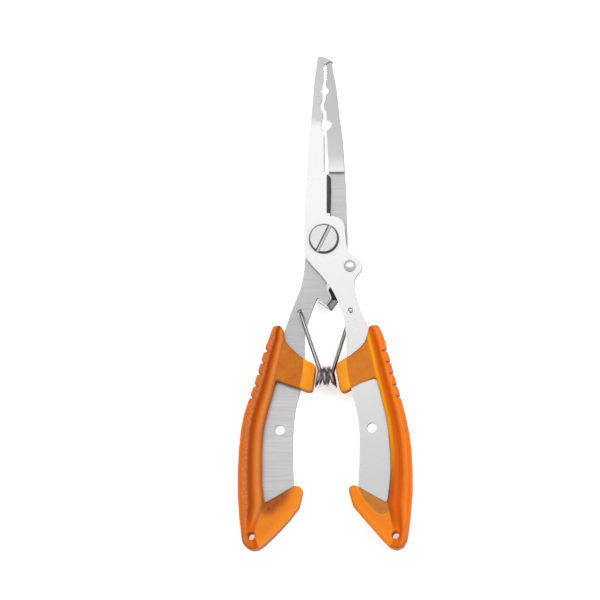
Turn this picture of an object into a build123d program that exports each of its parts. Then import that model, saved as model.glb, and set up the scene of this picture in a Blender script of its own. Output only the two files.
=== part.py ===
from build123d import *
import math
import os

os.makedirs("parts", exist_ok=True)

# Fishing pliers lying flat: +Z up out of the front face, +Y from the pivot towards the jaw tips,
# +X to the right. The origin is on the pivot axis, in the plane the tool rests on. Millimetres.

# ---- driving dimensions -------------------------------------------------------------------
HALF_GRIP = 5.2          # half the thickness of the moulded grips
Z_MID = HALF_GRIP        # height of the plane where the two levers lap
PLATE = 3.0              # thickness of each lever plate
LAP_GAP = 0.05           # each lever stands this far back from the lap plane
STEP_FRONT_Y = 22.222    # above this the front lever's jaw is full thickness
STEP_REAR_Y = 22.06      # above this the rear lever's jaw is full thickness
TIP_HALF = 1.9           # half the thickness of the jaws at their tips
TAPER_FRONT_Y = 38.5     # the front lever's jaw starts to thin here
TAPER_REAR_Y = 30.0      # the rear lever's jaw starts to thin here
TIP_Y = 60.4

SLEEVE_R = 2.5           # nut sleeve that both levers turn on
FRONT_BORE_R = 2.55      # 0.05 running clearance on the sleeve
REAR_BORE_R = 2.52
SCREW_R = 1.6            # threaded shank, drawn plain
HEAD_BASE_R = 4.95
HEAD_TOP_R = 4.45
HEAD_H = 1.85
SLOT_W = 1.25
SLOT_D = 0.95
SLOT_ANGLE = 63.3        # degrees from +X
NUT_R = 4.6

RIVET = (8.57, -8.93)
RIVET_R = 1.2
RIVET_HEAD_R = 1.95
RIVET_DOME_H = 0.85
LOCK_BORE_R = 1.25
LOCK_TOP = -1.75         # lock lever, measured from the lap plane
LOCK_BOTTOM = -2.95
TOOTH_REBATE = -1.5      # the back of the rear lever's tooth stops here

SPRING_WIRE_R = 0.7
SPRING_HOLE_R = 0.98
SPRING_REAR = (-7.89, -23.73)
SPRING_FRONT = (8.80, -23.56)
COIL_Y = -45.0
COIL_R = 3.2

PLATE_HOLE_L = (-14.56, -62.25)
PLATE_HOLE_R = (15.71, -61.92)
PLATE_HOLE_RADIUS = 1.62
LANYARD_L = (-23.5, -97.3)
LANYARD_R = (23.4, -97.1)
LANYARD_RADIUS = 1.22

CRIMP_1 = (0.16, 48.9, 1.30)
CRIMP_2 = (0.59, 37.7, 1.85)
SERRATION_Y = [52.8, 53.8, 54.8, 55.75, 56.75]
SERRATION_R = 0.48

WEB_HALF = 4.1           # half the thickness of the grip's top web
RAIL_BASE_HALF = 3.5     # the grip's sides are upright up to here, then lean in
RAIL_TAPER = 42          # degrees
NOTCH_DEPTH = 0.7

# ---- outlines, in order round each piece ---------------------------------------------------
F_LEFT = [
    (-2.127, 60.349), (-2.487, 57.764), (-2.815, 55.276), (-3.469, 48.6), (-4.156, 40.255),
    (-4.975, 31.909), (-5.662, 21.862), (-6.055, 12.927), (-6.284, 4.516), (-6.382, -4.255),
]
F_NECK = [
    (-6.382, -4.255), (-6.087, -5.662), (-5.04, -7.298), (-2.225, -10.505), (-0.982, -11.815),
    (0.687, -13.909), (1.964, -15.611), (3.207, -17.673), (4.385, -20.127), (5.662, -23.236),
    (6.545, -26.182), (7.2, -30.6), (7.527, -34.985), (7.527, -38.945), (7.658, -42.382),
    (8.215, -45.851), (8.967, -49.255), (9.884, -52.822), (10.636, -55.996), (11.225, -59.073),
    (11.618, -62.444), (11.749, -68.4), (11.618, -74.356), (11.225, -80.902),
]
F_END = [
    (11.225, -80.902), (11.782, -82.636), (13.353, -85.385), (16.004, -88.56),
    (18.131, -90.229), (19.931, -90.36), (21.567, -89.345), (23.04, -85.909), (24.022, -81),
    (24.349, -76.32), (24.284, -70.364), (23.629, -63.622), (22.844, -59.073),
    (21.829, -54.818), (20.585, -50.04), (19.113, -44.673), (16.985, -37.145),
    (15.709, -32.073), (14.596, -29.029),
]
F_OUT = [
    (14.596, -29.029), (13.844, -27.393), (12.371, -24.12), (10.931, -20.324),
    (10.113, -16.985), (9.884, -14.76), (10.113, -13.255), (10.636, -12.142),
]
F_LUG = [
    (10.636, -12.142), (12.044, -10.636), (12.404, -8.935), (12.044, -7.56), (10.996, -6.251),
    (9.458, -5.433),
]
F_BOSS = [
    (9.458, -5.433), (8.444, -4.549), (7.691, -3.371), (7.265, -1.342), (6.971, 1.604),
    (6.84, 4.025),
]
F_SH = [
    (6.84, 4.025), (5.956, 5.956), (4.484, 7.004), (3.044, 7.429), (1.865, 7.495),
]
F_BL = [
    (1.865, 7.495), (1.996, 9.916), (2.127, 16.2), (2.029, 20.193),
]
F_BT = [
    (2.029, 20.193), (1.604, 20.945), (0.687, 21.207), (-0.131, 22.222),
]
F_IN = [
    (-0.131, 22.222), (-0.131, 34.233), (-0.818, 35.902), (-0.72, 36.622), (-0.72, 38.782),
    (-0.982, 39.305), (-0.458, 40.647), (-0.556, 41.891), (-1.407, 43.265), (-1.505, 44.313),
    (-0.785, 46.375), (-0.655, 47.815), (-0.556, 48.142), (-0.556, 49.647), (-0.818, 50.891),
    (-0.524, 52.2), (-0.131, 52.331), (-0.098, 57.993),
]
F_TOOTH = [
    (-0.098, 57.993), (0.425, 57.796), (1.636, 58.778), (2.52, 58.451),
]
F_TOP = [
    (2.52, 58.451), (2.684, 58.68), (1.636, 59.269), (0.753, 59.727), (-0.295, 60.185),
    (-2.127, 60.349),
]
R_OUT = [
    (0.524, 57.371), (2.095, 58.418), (2.553, 58.025),
]
R_RIGHT = [
    (2.553, 58.025), (2.847, 55.276), (3.535, 51.251), (4.025, 47.913), (4.876, 39.895),
    (5.531, 35.247), (6.022, 30.24), (6.382, 25.233), (6.578, 22.058), (7.036, 12.927),
    (7.135, 8.018), (7.331, 3.109), (7.462, -1.342), (7.429, -4.255),
]
R_NECK = [
    (7.429, -4.255), (7.135, -5.662), (6.087, -7.298), (3.273, -10.571), (1.702, -12.207),
    (0.72, -13.451),
]
R_NOTCH = [
    (0.72, -13.451), (0.458, -14.367), (0.458, -15.382), (0.785, -16.625),
]
R_TOOTH = [
    (0.785, -16.625), (1.735, -18.556), (1.767, -19.145), (0.72, -20.978), (-1.604, -19.145),
]
R_TIN = [
    (-1.604, -19.145), (-2.16, -18.982), (-2.618, -19.538), (-4.189, -23.302),
    (-5.629, -27.818), (-6.349, -30.993), (-6.578, -34.985), (-6.545, -38.945),
    (-6.676, -42.382), (-7.233, -45.851), (-7.92, -49.255), (-8.771, -52.822),
    (-9.491, -55.996), (-9.884, -59.073), (-10.178, -62.836), (-10.342, -68.4),
    (-10.244, -74.356), (-9.884, -80.902),
]
R_END = [
    (-9.884, -80.902), (-10.538, -82.636), (-12.175, -85.385), (-14.825, -88.56),
    (-16.953, -90.229), (-18.753, -90.36), (-20.389, -89.345), (-21.927, -85.909),
    (-22.713, -81), (-22.975, -76.32), (-22.942, -70.364), (-22.451, -63.622),
    (-21.665, -59.073), (-20.651, -54.818), (-19.407, -50.04), (-17.935, -44.673),
    (-15.709, -37.145), (-13.942, -32.073), (-13.124, -30.273),
]
R_HAND = [
    (-13.124, -30.273), (-12.567, -28.636), (-10.604, -23.073), (-9.524, -20.324),
    (-8.084, -16.822), (-7.069, -12.927), (-6.48, -8.64), (-6.218, -4.745),
]
R_BOSS = [
    (-6.218, -4.745), (-6.12, -3.109), (-5.956, -1.145), (-5.793, 1.604), (-5.662, 4.025),
]
R_SH = [
    (-5.662, 4.025), (-4.844, 5.956), (-3.371, 7.004), (-1.931, 7.429), (-0.818, 7.495),
]
R_BL = [
    (-0.818, 7.495), (-0.949, 9.916), (-1.08, 16.2), (-0.982, 20.193),
]
R_BT = [
    (-0.982, 20.193), (-0.556, 20.945), (0.36, 21.207), (1.538, 22.058),
]
R_IN = [
    (1.538, 22.058), (1.44, 25.233), (1.015, 31.909), (0.818, 35.509), (1.702, 36.295),
    (1.702, 39.109), (0.753, 39.502), (0.785, 41.171), (0.589, 42.218), (-0.196, 43.462),
    (-0.262, 44.313), (0.491, 46.08), (0.491, 47.422), (0.851, 47.88), (0.851, 49.909),
    (0.491, 50.564), (0.491, 57.142), (0.524, 57.371),
]

# Moulded grips, whole silhouette, without the finger notches.
GRIP_L = [
    (-16.756, -28.636), (-16.036, -28.276), (-14.269, -28.276), (-13.549, -29.193),
    (-13.222, -30.436), (-12.862, -32.924), (-11.618, -34.691), (-9.851, -36.622),
    (-7.724, -38.422), (-5.596, -39.829), (-3.633, -40.713), (-2.749, -41.465),
    (-2.749, -42.709), (-2.913, -44.084), (-3.469, -47.618), (-3.731, -49.451),
    (-4.353, -50.04), (-5.924, -49.942), (-7.364, -49.222), (-11.258, -47.978),
    (-15.153, -46.571), (-15.676, -46.505), (-16.756, -50.825), (-17.935, -54.818),
    (-18.72, -57.764), (-19.735, -62.444), (-20.127, -67.615), (-20.225, -72.36),
    (-20.127, -80.28), (-19.407, -86.498), (-14.924, -83.945), (-9.818, -80.902),
    (-8.215, -80.771), (-7.233, -81.295), (-6.873, -82.702), (-8.084, -87.84),
    (-11.356, -92.095), (-15.775, -96.709), (-19.342, -100.08), (-21.109, -101.324),
    (-22.876, -101.815), (-24.644, -101.324), (-26.247, -99.753), (-26.771, -97.625),
    (-27.491, -91.407), (-28.015, -84.305), (-28.08, -76.091), (-27.655, -68.4),
    (-27.065, -62.444), (-26.084, -57.273), (-24.48, -52.527), (-22.975, -48.076),
    (-21.764, -44.247), (-20.716, -40.451), (-19.407, -36.295), (-18.524, -33.807),
    (-17.64, -31.32),
]
GRIP_R = [
    (17.869, -28.44), (17.28, -28.145), (15.316, -28.276), (14.531, -29.193), (14.335, -30.6),
    (14.073, -31.68), (13.549, -33.447), (12.305, -35.215), (10.538, -36.818),
    (8.738, -38.225), (6.611, -39.469), (4.844, -40.549), (3.993, -41.465), (3.927, -42.709),
    (4.156, -44.084), (4.844, -47.389), (5.138, -49.516), (6.022, -50.302), (7.167, -50.105),
    (8.738, -49.189), (11.945, -47.455), (16.233, -45.982), (17.084, -46.178),
    (18.164, -50.04), (19.342, -54.818), (20.291, -59.073), (20.945, -63.622), (21.6, -70.364),
    (21.731, -76.32), (21.338, -81.098), (20.618, -86.302), (15.513, -83.487),
    (10.702, -80.771), (9.164, -80.64), (8.215, -81.458), (8.182, -82.833), (9.589, -87.709),
    (14.204, -92.978), (18.949, -98.411), (21.338, -100.833), (23.564, -101.749),
    (25.92, -100.833), (27.131, -98.509), (27.491, -96.153), (28.145, -90.818),
    (28.8, -82.636), (28.8, -76.32), (28.407, -68.4), (27.622, -62.836), (26.411, -57.273),
    (25.102, -52.265), (23.891, -48.142), (22.68, -44.084), (21.698, -40.255),
    (20.487, -36.229), (19.898, -33.447), (18.916, -30.6),
]

# The parts of the silhouettes that are only the thin top web.
WEB_L = [
    (-12.764, -32.236), (-15.84, -45.818), (-16.887, -51.218), (2.095, -51.218),
    (2.095, -26.345), (-12.764, -26.345),
]
WEB_R = [
    (14.007, -31.582), (17.116, -45.491), (18.131, -51.218), (-0.524, -51.218),
    (-0.524, -26.345), (14.007, -26.345),
]
NOTCH_L = [
    (-18.884, -36.818), (-20.291, -40.451), (-21.371, -44.247), (-22.516, -48.076),
    (-23.76, -51.873),
]
NOTCH_R = [
    (20.553, -36.556), (21.895, -40.255), (22.942, -44.084), (24.087, -47.815),
    (25.167, -51.611),
]


def outline(*pieces):
    """Closed face from runs of points: 'S' is a smooth run, 'L' straight runs."""
    edges = []
    for kind, pts in pieces:
        if kind == "S":
            edges.append(Spline(*[(x, y, 0) for x, y in pts]))
        else:
            for a, b in zip(pts[:-1], pts[1:]):
                edges.append(Line((a[0], a[1], 0), (b[0], b[1], 0)))
    return make_face(Wire(edges))


def polygon(pts):
    """Closed straight-sided face, always facing +Z."""
    turn = sum(a[0] * b[1] - b[0] * a[1] for a, b in zip(pts, pts[1:] + pts[:1]))
    ring = pts if turn > 0 else pts[::-1]
    return make_face(Polyline(*[(x, y, 0) for x, y in ring], close=True))


def slab(face, z0, z1):
    """Extrude a face between two heights measured from the lap plane."""
    return extrude(Pos(0, 0, Z_MID + z0) * face, amount=z1 - z0, dir=(0, 0, 1))


def post(x, y, r, z0, z1):
    return Pos(x, y, Z_MID + (z0 + z1) / 2) * Cylinder(r, z1 - z0)


def wedge_yz(y0, z0, y1, z1, zout):
    """Prism across the whole width whose section is the corner to cut off."""
    tri = Polyline((y0, z0), (y1, z1), (y1, zout), (y0, zout), close=True)
    face = make_face(tri)
    prism = extrude(face, amount=80, both=True)
    # section drawn in (Y, Z), extruded along X
    return Pos(0, 0, Z_MID) * Rot(90, 0, 90) * prism


def taper_cuts(y_start):
    end = TIP_Y + 1.0
    slope = (PLATE - TIP_HALF) / (TIP_Y - y_start)
    half_end = PLATE - slope * (end - y_start)
    up = wedge_yz(y_start, PLATE, end, half_end, PLATE + 3)
    down = wedge_yz(y_start, -PLATE, end, -half_end, -PLATE - 3)
    return up, down


def bevel_cut(x0, x1, z0, z1, zout, y0, y1):
    """Ground bevel along a shear blade: section in (X, Z), run along Y."""
    tri = make_face(Polyline((x0, z0), (x1, z1), (x1 + math.copysign(2, x1 - x0), z1),
                             (x1 + math.copysign(2, x1 - x0), zout), (x0, zout), close=True))
    prism = extrude(tri, amount=y1 - y0)
    return Pos(0, y1, Z_MID) * Rot(90, 0, 0) * prism


# ---- front lever: left jaw, shear blade, lug for the lock, right handle plate ---------------
front_face = outline(("S", F_LEFT), ("S", F_NECK), ("S", F_END), ("S", F_OUT), ("S", F_LUG),
                     ("S", F_BOSS), ("S", F_SH), ("L", F_BL), ("L", F_BT), ("L", F_IN),
                     ("L", F_TOOTH), ("L", F_TOP))
front_lever = slab(front_face, LAP_GAP, PLATE)
front_jaw = slab(front_face, -PLATE, LAP_GAP) & (
    Pos(0, STEP_FRONT_Y + 50, Z_MID) * Box(80, 100, 20))
front_lever = front_lever + front_jaw
for cut in taper_cuts(TAPER_FRONT_Y):
    front_lever = front_lever - cut
front_lever = front_lever - bevel_cut(0.85, 2.3, PLATE, 0.45, PLATE + 2, 8.4, 21.6)
front_lever = front_lever - post(0, 0, FRONT_BORE_R, -1, 4)
front_lever = front_lever - post(RIVET[0], RIVET[1], RIVET_R, -1, 4)
front_lever = front_lever - post(SPRING_FRONT[0], SPRING_FRONT[1], SPRING_HOLE_R, -1, 4)
front_lever = front_lever - post(PLATE_HOLE_R[0], PLATE_HOLE_R[1], PLATE_HOLE_RADIUS, -1, 4)

# ---- rear lever: right jaw, shear blade, tooth for the lock, left handle plate --------------
rear_face = outline(("L", R_OUT), ("S", R_RIGHT), ("S", R_NECK), ("S", R_NOTCH), ("L", R_TOOTH),
                    ("S", R_TIN), ("S", R_END), ("S", R_HAND), ("S", R_BOSS), ("S", R_SH),
                    ("L", R_BL), ("L", R_BT), ("L", R_IN))
rear_lever = slab(rear_face, -PLATE, -LAP_GAP)
rear_jaw = slab(rear_face, -LAP_GAP, PLATE) & (
    Pos(0, STEP_REAR_Y + 50, Z_MID) * Box(80, 100, 20))
rear_lever = rear_lever + rear_jaw
for cut in taper_cuts(TAPER_REAR_Y):
    rear_lever = rear_lever - cut
rear_lever = rear_lever - bevel_cut(0.2, -1.25, -PLATE, -0.45, -PLATE - 2, 8.4, 21.6)
rear_lever = rear_lever - post(0, 0, REAR_BORE_R, -4, 1)
rear_lever = rear_lever - post(SPRING_REAR[0], SPRING_REAR[1], SPRING_HOLE_R, -4, 1)
rear_lever = rear_lever - post(PLATE_HOLE_L[0], PLATE_HOLE_L[1], PLATE_HOLE_RADIUS, -4, 1)

# Crimp holes: one round hole shared by both jaws, each taking its own side of it.
for x, y, r in (CRIMP_1, CRIMP_2):
    hole = post(x, y, r, -6, 6)
    front_lever = front_lever - hole
    rear_lever = rear_lever - hole

# Fine scallops along both gripping edges near the tips.
for y in SERRATION_Y:
    front_lever = front_lever - post(-0.02, y, SERRATION_R, -6, 6)
    rear_lever = rear_lever - post(0.42, y, SERRATION_R, -6, 6)

# Rebate on the back of the tooth, where the lock lever's finger passes behind it.
rear_lever = rear_lever - slab(
    polygon([(0.35, -15.6), (-3.1, -20.6), (2.0, -24.5), (8.0, -16.0)]), -4, TOOTH_REBATE)

# ---- pivot: slotted screw and sleeve nut ----------------------------------------------------
head = Pos(0, 0, Z_MID + PLATE + 0.05) * Cone(HEAD_BASE_R, HEAD_TOP_R, HEAD_H,
                                             align=(Align.CENTER, Align.CENTER, Align.MIN))
slot = Pos(0, 0, Z_MID + PLATE + 0.05 + HEAD_H) * Rot(0, 0, SLOT_ANGLE) * Box(
    14, SLOT_W, 2 * SLOT_D)
pivot_screw = (head - slot) + post(0, 0, SCREW_R, -4.4, PLATE + 0.1)
pivot_nut = post(0, 0, NUT_R, -HALF_GRIP, -PLATE) + post(0, 0, SLEEVE_R, -PLATE - 0.1, PLATE + 0.03)
pivot_nut = pivot_nut - post(0, 0, SCREW_R, -4.4, 6)
nut_edge = pivot_nut.edges().filter_by(GeomType.CIRCLE).filter_by(
    lambda e: abs(e.radius - NUT_R) < 0.01).sort_by(Axis.Z)[0]
pivot_nut = chamfer(nut_edge, 0.35)

# ---- lock: lever, rivet and washer ----------------------------------------------------------
# Local directions of the lock lever: RAD runs from the rivet to the hook, TAN across it.
RAD = (-0.585, -0.811)
TAN = (0.811, -0.585)


def lock_xy(r, t):
    return (RIVET[0] + r * RAD[0] + t * TAN[0], RIVET[1] + r * RAD[1] + t * TAN[1])


LOCK_EDGE = [(0.0, -2.75), (3.0, -1.77), (10.35, -1.77), (11.45, 0.25), (12.1, 0.80), (14.45, 0.80),
             (14.55, -2.2), (15.35, -2.2), (15.35, 3.17), (3.0, 3.17), (0.0, 2.75)]
lock_plate = slab(polygon([lock_xy(r, t) for r, t in LOCK_EDGE]), LOCK_BOTTOM, LOCK_TOP)
lock_lever = lock_plate + post(RIVET[0], RIVET[1], 2.8, LOCK_BOTTOM, LOCK_TOP)
lock_lever = lock_lever - post(RIVET[0], RIVET[1], LOCK_BORE_R, -4, 0)

dome_r = (RIVET_HEAD_R ** 2 + RIVET_DOME_H ** 2) / (2 * RIVET_DOME_H)
dome = (Pos(RIVET[0], RIVET[1], Z_MID + PLATE + RIVET_DOME_H - dome_r) * Sphere(dome_r)) & (
    Pos(RIVET[0], RIVET[1], Z_MID + PLATE + 2) * Box(12, 12, 4))
lock_rivet = dome + post(RIVET[0], RIVET[1], RIVET_R, -PLATE - 0.1, PLATE) + post(
    RIVET[0], RIVET[1], 1.9, -PLATE - 0.65, -PLATE)
lock_washer = post(RIVET[0], RIVET[1], 2.6, LOCK_TOP + 0.05, LAP_GAP) - post(
    RIVET[0], RIVET[1], RIVET_R, -4, 2)

# ---- return spring: three loops and two legs hooked into the levers --------------------------
zf, zb = Z_MID + COIL_R, Z_MID - COIL_R
yt, yb = COIL_Y + COIL_R, COIL_Y - COIL_R
spring_path = [
    (SPRING_REAR[0], SPRING_REAR[1], Z_MID - 2.7),
    (SPRING_REAR[0], SPRING_REAR[1], Z_MID + 0.78),
    (-1.75, -41.4, Z_MID + 2.9),
    (-2.15, yb, zf), (-1.75, yb, zb), (-1.15, yt, zb), (-0.65, yt, zf),
    (0.35, yb, zf), (0.95, yb, zb), (1.45, yt, zb), (1.95, yt, zf),
    (2.95, yb, zf), (3.45, yb, zb),
    (2.95, -41.4, Z_MID - 2.9),
    (SPRING_FRONT[0], SPRING_FRONT[1], Z_MID - 0.78),
    (SPRING_FRONT[0], SPRING_FRONT[1], Z_MID + 3.25),
]
spring_radii = [0.95, 6.0, 3.0, 3.0, 3.0, 3.0, 3.0, 3.0, 3.0, 3.0, 3.0, 3.0, 6.0, 0.95]
spring_line = FilletPolyline(*spring_path, radius=spring_radii)
start = Plane(origin=spring_line @ 0, z_dir=spring_line % 0)
return_spring = sweep(start * Circle(SPRING_WIRE_R), path=spring_line)

# ---- moulded grips ---------------------------------------------------------------------------


def grip(points, web_points, notch_points, side, lever, hole):
    whole = polygon(points)
    body = slab(whole, -RAIL_BASE_HALF, RAIL_BASE_HALF)
    web = slab(whole, -WEB_HALF, WEB_HALF) & slab(polygon(web_points), -WEB_HALF, WEB_HALF)
    rail_face = whole - polygon(web_points)
    rail_face = rail_face.faces().sort_by(SortBy.AREA)[-1]
    up = extrude(Pos(0, 0, Z_MID + RAIL_BASE_HALF) * rail_face,
                 amount=HALF_GRIP - RAIL_BASE_HALF, dir=(0, 0, 1), taper=RAIL_TAPER)
    down = mirror(up, about=Plane(origin=(0, 0, Z_MID), z_dir=(0, 0, 1)))
    body = body + web + up + down
    # five finger notches across the outer side, square to the rail
    for i, (x, y) in enumerate(notch_points):
        a = notch_points[max(i - 1, 0)]
        b = notch_points[min(i + 1, len(notch_points) - 1)]
        angle = math.degrees(math.atan2(b[1] - a[1], b[0] - a[0]))
        vee = Pos(x, y, Z_MID) * Rot(0, 0, angle + 45) * Box(
            NOTCH_DEPTH * 1.414, NOTCH_DEPTH * 1.414, 20)
        body = body - vee
    body = body - post(hole[0], hole[1], LANYARD_RADIUS, -8, 8)
    return body - lever


left_grip = grip(GRIP_L, WEB_L, NOTCH_L, -1, rear_lever, LANYARD_L)
right_grip = grip(GRIP_R, WEB_R, NOTCH_R, 1, front_lever, LANYARD_R)

NODES = {
    "front_lever": front_lever,
    "rear_lever": rear_lever,
    "pivot_screw": pivot_screw,
    "pivot_nut": pivot_nut,
    "return_spring": return_spring,
    "left_grip": left_grip,
    "right_grip": right_grip,
    "lock_lever": lock_lever,
    "lock_rivet": lock_rivet,
    "lock_washer": lock_washer,
}
for name, shape in NODES.items():
    solids = shape.solids()
    export_step(solids[0] if len(solids) == 1 else Compound(solids), f"parts/{name}.step")
    print(name, len(solids), round(shape.volume, 2), shape.is_valid)
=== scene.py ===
import math
import bmesh
import bpy
import numpy as np
from mathutils import Vector, Matrix


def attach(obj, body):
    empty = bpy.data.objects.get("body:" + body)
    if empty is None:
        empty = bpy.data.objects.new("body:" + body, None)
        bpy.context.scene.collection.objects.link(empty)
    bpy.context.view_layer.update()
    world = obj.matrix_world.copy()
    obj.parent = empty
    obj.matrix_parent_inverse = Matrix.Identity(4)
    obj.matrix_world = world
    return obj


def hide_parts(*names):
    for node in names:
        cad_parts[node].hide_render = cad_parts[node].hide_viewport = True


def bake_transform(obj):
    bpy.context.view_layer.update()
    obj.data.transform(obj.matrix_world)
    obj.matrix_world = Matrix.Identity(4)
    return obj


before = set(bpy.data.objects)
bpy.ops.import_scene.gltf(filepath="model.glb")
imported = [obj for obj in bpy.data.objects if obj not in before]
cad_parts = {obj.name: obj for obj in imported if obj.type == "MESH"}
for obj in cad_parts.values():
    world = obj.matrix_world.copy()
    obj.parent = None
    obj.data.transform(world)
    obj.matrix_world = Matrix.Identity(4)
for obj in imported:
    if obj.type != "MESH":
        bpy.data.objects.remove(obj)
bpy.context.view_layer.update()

# ---------------------------------------------------------------------------- dimensions (mm)
ZM = 5.2                 # lap plane of the two levers above the surface the tool lies on
CREST = 5.2              # half thickness of the grips at the rail's crest
LEDGE = 3.9              # half thickness of the grip where the rail meets the plate
WEB = 4.05               # half thickness of the thin top web
LANYARD_L = (-23.5, -97.3)
LANYARD_R = (23.4, -97.1)
LANYARD_RADIUS = 1.22

GRIP_L = [
    (-16.756, -28.636), (-16.036, -28.276), (-14.269, -28.276), (-13.549, -29.193),
    (-13.222, -30.436), (-12.862, -32.924), (-11.618, -34.691), (-9.851, -36.622),
    (-7.724, -38.422), (-5.596, -39.829), (-3.633, -40.713), (-2.749, -41.465),
    (-2.749, -42.709), (-2.913, -44.084), (-3.469, -47.618), (-3.731, -49.451),
    (-4.353, -50.04), (-5.924, -49.942), (-7.364, -49.222), (-11.258, -47.978),
    (-15.153, -46.571), (-15.676, -46.505), (-16.756, -50.825), (-17.935, -54.818),
    (-18.72, -57.764), (-19.735, -62.444), (-20.127, -67.615), (-20.225, -72.36),
    (-20.127, -80.28), (-19.407, -86.498), (-14.924, -83.945), (-9.818, -80.902),
    (-8.215, -80.771), (-7.233, -81.295), (-6.873, -82.702), (-8.084, -87.84),
    (-11.356, -92.095), (-15.775, -96.709), (-19.342, -100.08), (-21.109, -101.324),
    (-22.876, -101.815), (-24.644, -101.324), (-26.247, -99.753), (-26.771, -97.625),
    (-27.491, -91.407), (-28.015, -84.305), (-28.08, -76.091), (-27.655, -68.4),
    (-27.065, -62.444), (-26.084, -57.273), (-24.48, -52.527), (-22.975, -48.076),
    (-21.764, -44.247), (-20.716, -40.451), (-19.407, -36.295), (-18.524, -33.807),
    (-17.64, -31.32),
]
GRIP_R = [
    (17.869, -28.44), (17.28, -28.145), (15.316, -28.276), (14.531, -29.193), (14.335, -30.6),
    (14.073, -31.68), (13.549, -33.447), (12.305, -35.215), (10.538, -36.818),
    (8.738, -38.225), (6.611, -39.469), (4.844, -40.549), (3.993, -41.465), (3.927, -42.709),
    (4.156, -44.084), (4.844, -47.389), (5.138, -49.516), (6.022, -50.302), (7.167, -50.105),
    (8.738, -49.189), (11.945, -47.455), (16.233, -45.982), (17.084, -46.178),
    (18.164, -50.04), (19.342, -54.818), (20.291, -59.073), (20.945, -63.622), (21.6, -70.364),
    (21.731, -76.32), (21.338, -81.098), (20.618, -86.302), (15.513, -83.487),
    (10.702, -80.771), (9.164, -80.64), (8.215, -81.458), (8.182, -82.833), (9.589, -87.709),
    (14.204, -92.978), (18.949, -98.411), (21.338, -100.833), (23.564, -101.749),
    (25.92, -100.833), (27.131, -98.509), (27.491, -96.153), (28.145, -90.818),
    (28.8, -82.636), (28.8, -76.32), (28.407, -68.4), (27.622, -62.836), (26.411, -57.273),
    (25.102, -52.265), (23.891, -48.142), (22.68, -44.084), (21.698, -40.255),
    (20.487, -36.229), (19.898, -33.447), (18.916, -30.6),
]
OUT_L = [
    (-15.742, -28.178), (-16.756, -28.636), (-17.64, -31.32), (-18.524, -33.807),
    (-19.407, -36.295), (-20.716, -40.451), (-21.764, -44.247), (-22.975, -48.076),
    (-24.48, -52.527), (-26.084, -57.273), (-27.065, -62.444), (-27.655, -68.4),
    (-28.08, -76.091), (-28.015, -84.305), (-27.491, -91.407), (-26.771, -97.625),
]
IN_L = [
    (-13.418, -28.473), (-12.829, -32.4), (-14.073, -38.455), (-15.513, -45.164),
    (-16.756, -50.825), (-17.935, -54.818), (-18.72, -57.764), (-19.735, -62.444),
    (-20.127, -67.615), (-20.225, -72.36), (-20.127, -80.28), (-19.636, -86.498),
    (-20.356, -89.509), (-21.796, -94.418), (-22.353, -96.218),
]
OUT_R = [
    (16.167, -28.113), (17.869, -28.44), (18.916, -30.6), (19.898, -33.447), (20.487, -36.229),
    (21.698, -40.255), (22.68, -44.084), (23.891, -48.142), (25.102, -52.265),
    (26.411, -57.273), (27.622, -62.836), (28.407, -68.4), (28.8, -76.32), (28.8, -82.636),
    (28.145, -90.818), (27.491, -96.153), (27.131, -98.509),
]
IN_R = [
    (14.138, -28.964), (13.942, -31.745), (15.349, -37.473), (16.92, -44.836),
    (18.164, -50.04), (19.342, -54.818), (20.291, -59.073), (20.945, -63.622), (21.6, -70.364),
    (21.731, -76.32), (21.338, -81.098), (20.749, -86.105), (21.371, -89.182),
    (22.647, -94.418), (23.236, -96.545),
]
WEB_L = [
    (-12.764, -32.236), (-15.84, -45.818), (-16.887, -51.218), (2.095, -51.218),
    (2.095, -26.345), (-12.764, -26.345),
]
WEB_R = [
    (14.007, -31.582), (17.116, -45.491), (18.131, -51.218), (-0.524, -51.218),
    (-0.524, -26.345), (14.007, -26.345),
]
HOOK_L = [
    (-19.636, -86.498), (-20.356, -89.509), (-21.796, -94.418), (-22.353, -96.218),
    (-20.16, -103.582), (-1.178, -91.8), (-4.451, -78.709), (-10.996, -78.709),
]
HOOK_R = [
    (20.749, -86.105), (21.371, -89.182), (22.647, -94.418), (23.236, -96.545),
    (21.076, -103.582), (2.095, -91.8), (5.367, -78.709), (11.913, -78.709),
]
NOTCH_L = [
    (-19.145, -36.622), (-20.487, -40.385), (-21.633, -44.116), (-22.811, -47.945),
    (-24.12, -51.742),
]
NOTCH_R = [
    (20.815, -36.458), (22.124, -40.156), (23.171, -43.985), (24.349, -47.716),
    (25.429, -51.513),
]
PLATE_L = [
    (0.785, -16.625), (0.785, -16.625), (1.735, -18.556), (1.767, -19.145), (0.72, -20.978),
    (-1.604, -19.145), (-1.604, -19.145), (-2.16, -18.982), (-2.618, -19.538),
    (-4.189, -23.302), (-5.629, -27.818), (-6.349, -30.993), (-6.578, -34.985),
    (-6.545, -38.945), (-6.676, -42.382), (-7.233, -45.851), (-7.92, -49.255),
    (-8.771, -52.822), (-9.491, -55.996), (-9.884, -59.073), (-10.178, -62.836),
    (-10.342, -68.4), (-10.244, -74.356), (-9.884, -80.902), (-9.884, -80.902),
    (-10.538, -82.636), (-12.175, -85.385), (-14.825, -88.56), (-16.953, -90.229),
    (-18.753, -90.36), (-20.389, -89.345), (-21.927, -85.909), (-22.713, -81),
    (-22.975, -76.32), (-22.942, -70.364), (-22.451, -63.622), (-21.665, -59.073),
    (-20.651, -54.818), (-19.407, -50.04), (-17.935, -44.673), (-15.709, -37.145),
    (-13.942, -32.073), (-13.124, -30.273), (-13.124, -30.273), (-12.567, -28.636),
    (-10.604, -23.073), (-9.524, -20.324), (-8.084, -16.822), (-7.069, -12.927),
    (-6.48, -8.64), (-6.218, -4.745),
]
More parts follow.
